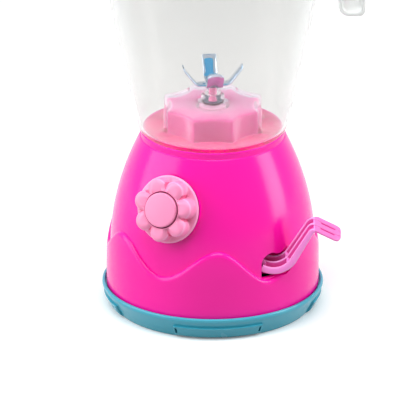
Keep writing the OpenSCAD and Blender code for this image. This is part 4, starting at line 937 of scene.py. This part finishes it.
# ---------------------------------------------------------------- lid
def lid():
    lid_r = JAR_RIM_R + 1.2 + 1.4
    plug = JAR_RIM_R - JAR_WALL - JAR_FLARE * 6 - 0.6

    def top_at(r):
        return JAR_TOP + 2.6 + LID_CROWN * (1 - (max(0, r - 18) / (lid_r - 18)) ** 2) - 0.1

    prof = [(0.01, top_at(0))] + [(r, top_at(r)) for r in np.linspace(6, lid_r - 2, 22)]
    prof += [(lid_r - 0.9, top_at(lid_r - 1.0)), (lid_r - 0.25, JAR_TOP + 2.0), (lid_r, JAR_TOP + 1.2)]
    prof += [(lid_r - d, JAR_TOP - h) for d, h in ((0, 2.4), (0.15, 2.9), (0.5, 3), (0.95, 2.8), (1.1, 0.1))]
    prof += [(plug - d, JAR_TOP - h) for d, h in ((-0.2, 0), (0, 0.3), (0.25, 5.6), (0.7, 6), (LID_WALL, 6))]
    prof += [(plug - LID_WALL, top_at(plug - LID_WALL) - LID_WALL - 0.6)]
    prof += [(r, top_at(r) - LID_WALL) for r in np.linspace(plug - LID_WALL - 1.5, 6, 16)]
    prof.append((0.01, top_at(0) - LID_WALL))
    lathe("lid_skin", prof, M_LID, "lid", cols=256, caps=(False, False), slot="teal_plastic", replaces=("lid",))
    low = top_at(0)
    prof = [(0.01, low)] + rounded([(11.6, low), (9.9, low + 2.6), (10.6, low + 5.2), (LID_KNOB_R, low + 6.6),
                                    (LID_KNOB_R, low + 11.6), (8, low + 12.6), (0.01, low + 12.9)],
                                   [0.3, 1.5, 1.5, 1.9, 2.6, 6, 0], closed=False)
    lathe("lid_knob_skin", prof, M_PINK, "lid", cols=128, caps=(False, False), slot="pink_plastic",
          replaces=("lid_knob",))


# ---------------------------------------------------------------- build it
base_dish()
body_shell()
window_guard()
boss()
lever()
dial()
jar()
handle()
collar()
blades()
lid()

FINISH = {"gear_plate": M_NYLON, "shaft_bush": M_NYLON, "rack_bar": M_NYLON, "two_step_gear": M_NYLON,
          "drive_gear": M_NYLON, "dial_washer": M_NYLON, "case_screws": M_STEEL, "plate_screws": M_STEEL,
          "lever_pin": M_STEEL, "gear_axle": M_STEEL, "drive_shaft": M_STEEL, "shaft_clip": M_SPRING,
          "return_spring": M_SPRING, "dial_screw": M_STEEL, "friction_ring": M_RUBBER, "drive_coupler": M_DIAL,
          "driven_coupler": M_DIAL, "blade_spindle": M_DIAL, "spindle_washer": M_COLLAR}
for name, mat in FINISH.items():
    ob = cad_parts[name]
    ob.data.materials.clear()
    ob.data.materials.append(mat)

# ---------------------------------------------------------------- stage, light and camera
def rays(nodes, links, kinds):
    """An output that is 1 for the kinds of ray named, and otherwise 0."""
    path = nodes.new("ShaderNodeLightPath")
    total = path.outputs[kinds[0]]
    for kind in kinds[1:]:
        add = nodes.new("ShaderNodeMath")
        add.operation = "ADD"
        add.use_clamp = True
        links.new(total, add.inputs[0])
        links.new(path.outputs[kind], add.inputs[1])
        total = add.outputs[0]
    return total

SEEN = ("Is Camera Ray", "Is Transmission Ray", "Is Glossy Ray")
FLOOR_HALF, FLOOR_Z = 6.0, -0.0002
floor_me = bpy.data.meshes.new("floor")
corners = [(x * FLOOR_HALF, y * FLOOR_HALF, FLOOR_Z) for x, y in ((-1, -1), (1, -1), (1, 1), (-1, 1))]
floor_me.from_pydata(corners, [], [(0, 1, 2, 3)])
floor = bpy.data.objects.new("floor", floor_me)
scene.collection.objects.link(floor)
mat, nodes, links, bsdf = nodes_of("floor_white")
floor_me.materials.append(mat)
bsdf.inputs["Roughness"].default_value = 0.9
bsdf.inputs["Specular IOR Level"].default_value = 0.0
bsdf.inputs["Emission Color"].default_value = (1, 1, 1, 1)
# White where it is seen straight, in metal or through glass, and grey for the light that it throws back up
seen = rays(nodes, links, SEEN)
shade = nodes.new("ShaderNodeMix")
shade.data_type = "RGBA"
shade.inputs[6].default_value = (0.45, 0.45, 0.45, 1)
shade.inputs[7].default_value = (0.92, 0.92, 0.92, 1)
links.new(seen, shade.inputs[0])
links.new(shade.outputs[2], bsdf.inputs["Base Color"])
# A glow that grows far off, where the lamps no longer reach
glow = nodes.new("ShaderNodeMath")
glow.operation = "MULTIPLY"
links.new(seen, glow.inputs[0])
far_off = nodes.new("ShaderNodeVectorMath")
far_off.operation = "LENGTH"
links.new(nodes.new("ShaderNodeTexCoord").outputs["Object"], far_off.inputs[0])
remap(mat, far_off.outputs["Value"], glow.inputs[1], 0.13, 0.8, from_min=0.55, from_max=1.5)
links.new(glow.outputs[0], bsdf.inputs["Emission Strength"])

world = bpy.data.worlds.new("studio")
scene.world = world
world.use_nodes = True
nodes, links = world.node_tree.nodes, world.node_tree.links
fill = nodes["Background"]
fill.inputs["Color"].default_value = (1, 1, 1, 1)
fill.inputs["Strength"].default_value = 0.2
white = nodes.new("ShaderNodeBackground")
white.inputs["Color"].default_value = (1, 1, 1, 1)
white.inputs["Strength"].default_value = 1.0
mix = nodes.new("ShaderNodeMixShader")
links.new(rays(nodes, links, SEEN), mix.inputs["Fac"])
links.new(fill.outputs[0], mix.inputs[1])
links.new(white.outputs[0], mix.inputs[2])
links.new(mix.outputs[0], nodes["World Output"].inputs["Surface"])

def area(name, loc, target, size, watts):
    lamp = bpy.data.lights.new(name, "AREA")
    lamp.shape, lamp.size, lamp.size_y, lamp.energy = "RECTANGLE", size[0], size[1], watts
    ob = bpy.data.objects.new(name, lamp)
    scene.collection.objects.link(ob)
    ob.location = loc
    ob.rotation_euler = (Vector(target) - Vector(loc)).to_track_quat("-Z", "Y").to_euler()


area("top", (0.0, -0.45, 1.3), (0, 0, 0.1), (1.1, 0.9), 15)
area("right", (1.15, -0.1, 0.55), (0, 0, 0.1), (0.5, 1.1), 11)
area("left", (-1.1, -0.2, 0.6), (0, 0, 0.1), (1.1, 1.2), 14)

PX_PER_MM, PICTURE_PX, SENSOR = 1.583, 420, 36
cam_data = bpy.data.cameras.new("camera")
cam = bpy.data.objects.new("camera", cam_data)
scene.collection.objects.link(cam)
scene.camera = cam
elevation, far = math.radians(22), 4.5
aim = Vector((-0.0017, 0, 0.0612))
cam.location = aim + far * Vector((0, -math.cos(elevation), math.sin(elevation)))
cam.rotation_euler = (aim - cam.location).to_track_quat("-Z", "Y").to_euler()
cam_data.sensor_width = SENSOR
cam_data.lens = PX_PER_MM * far * 1000 / PICTURE_PX * SENSOR
cam_data.clip_end = 50
scene.view_settings.view_transform = "Standard"
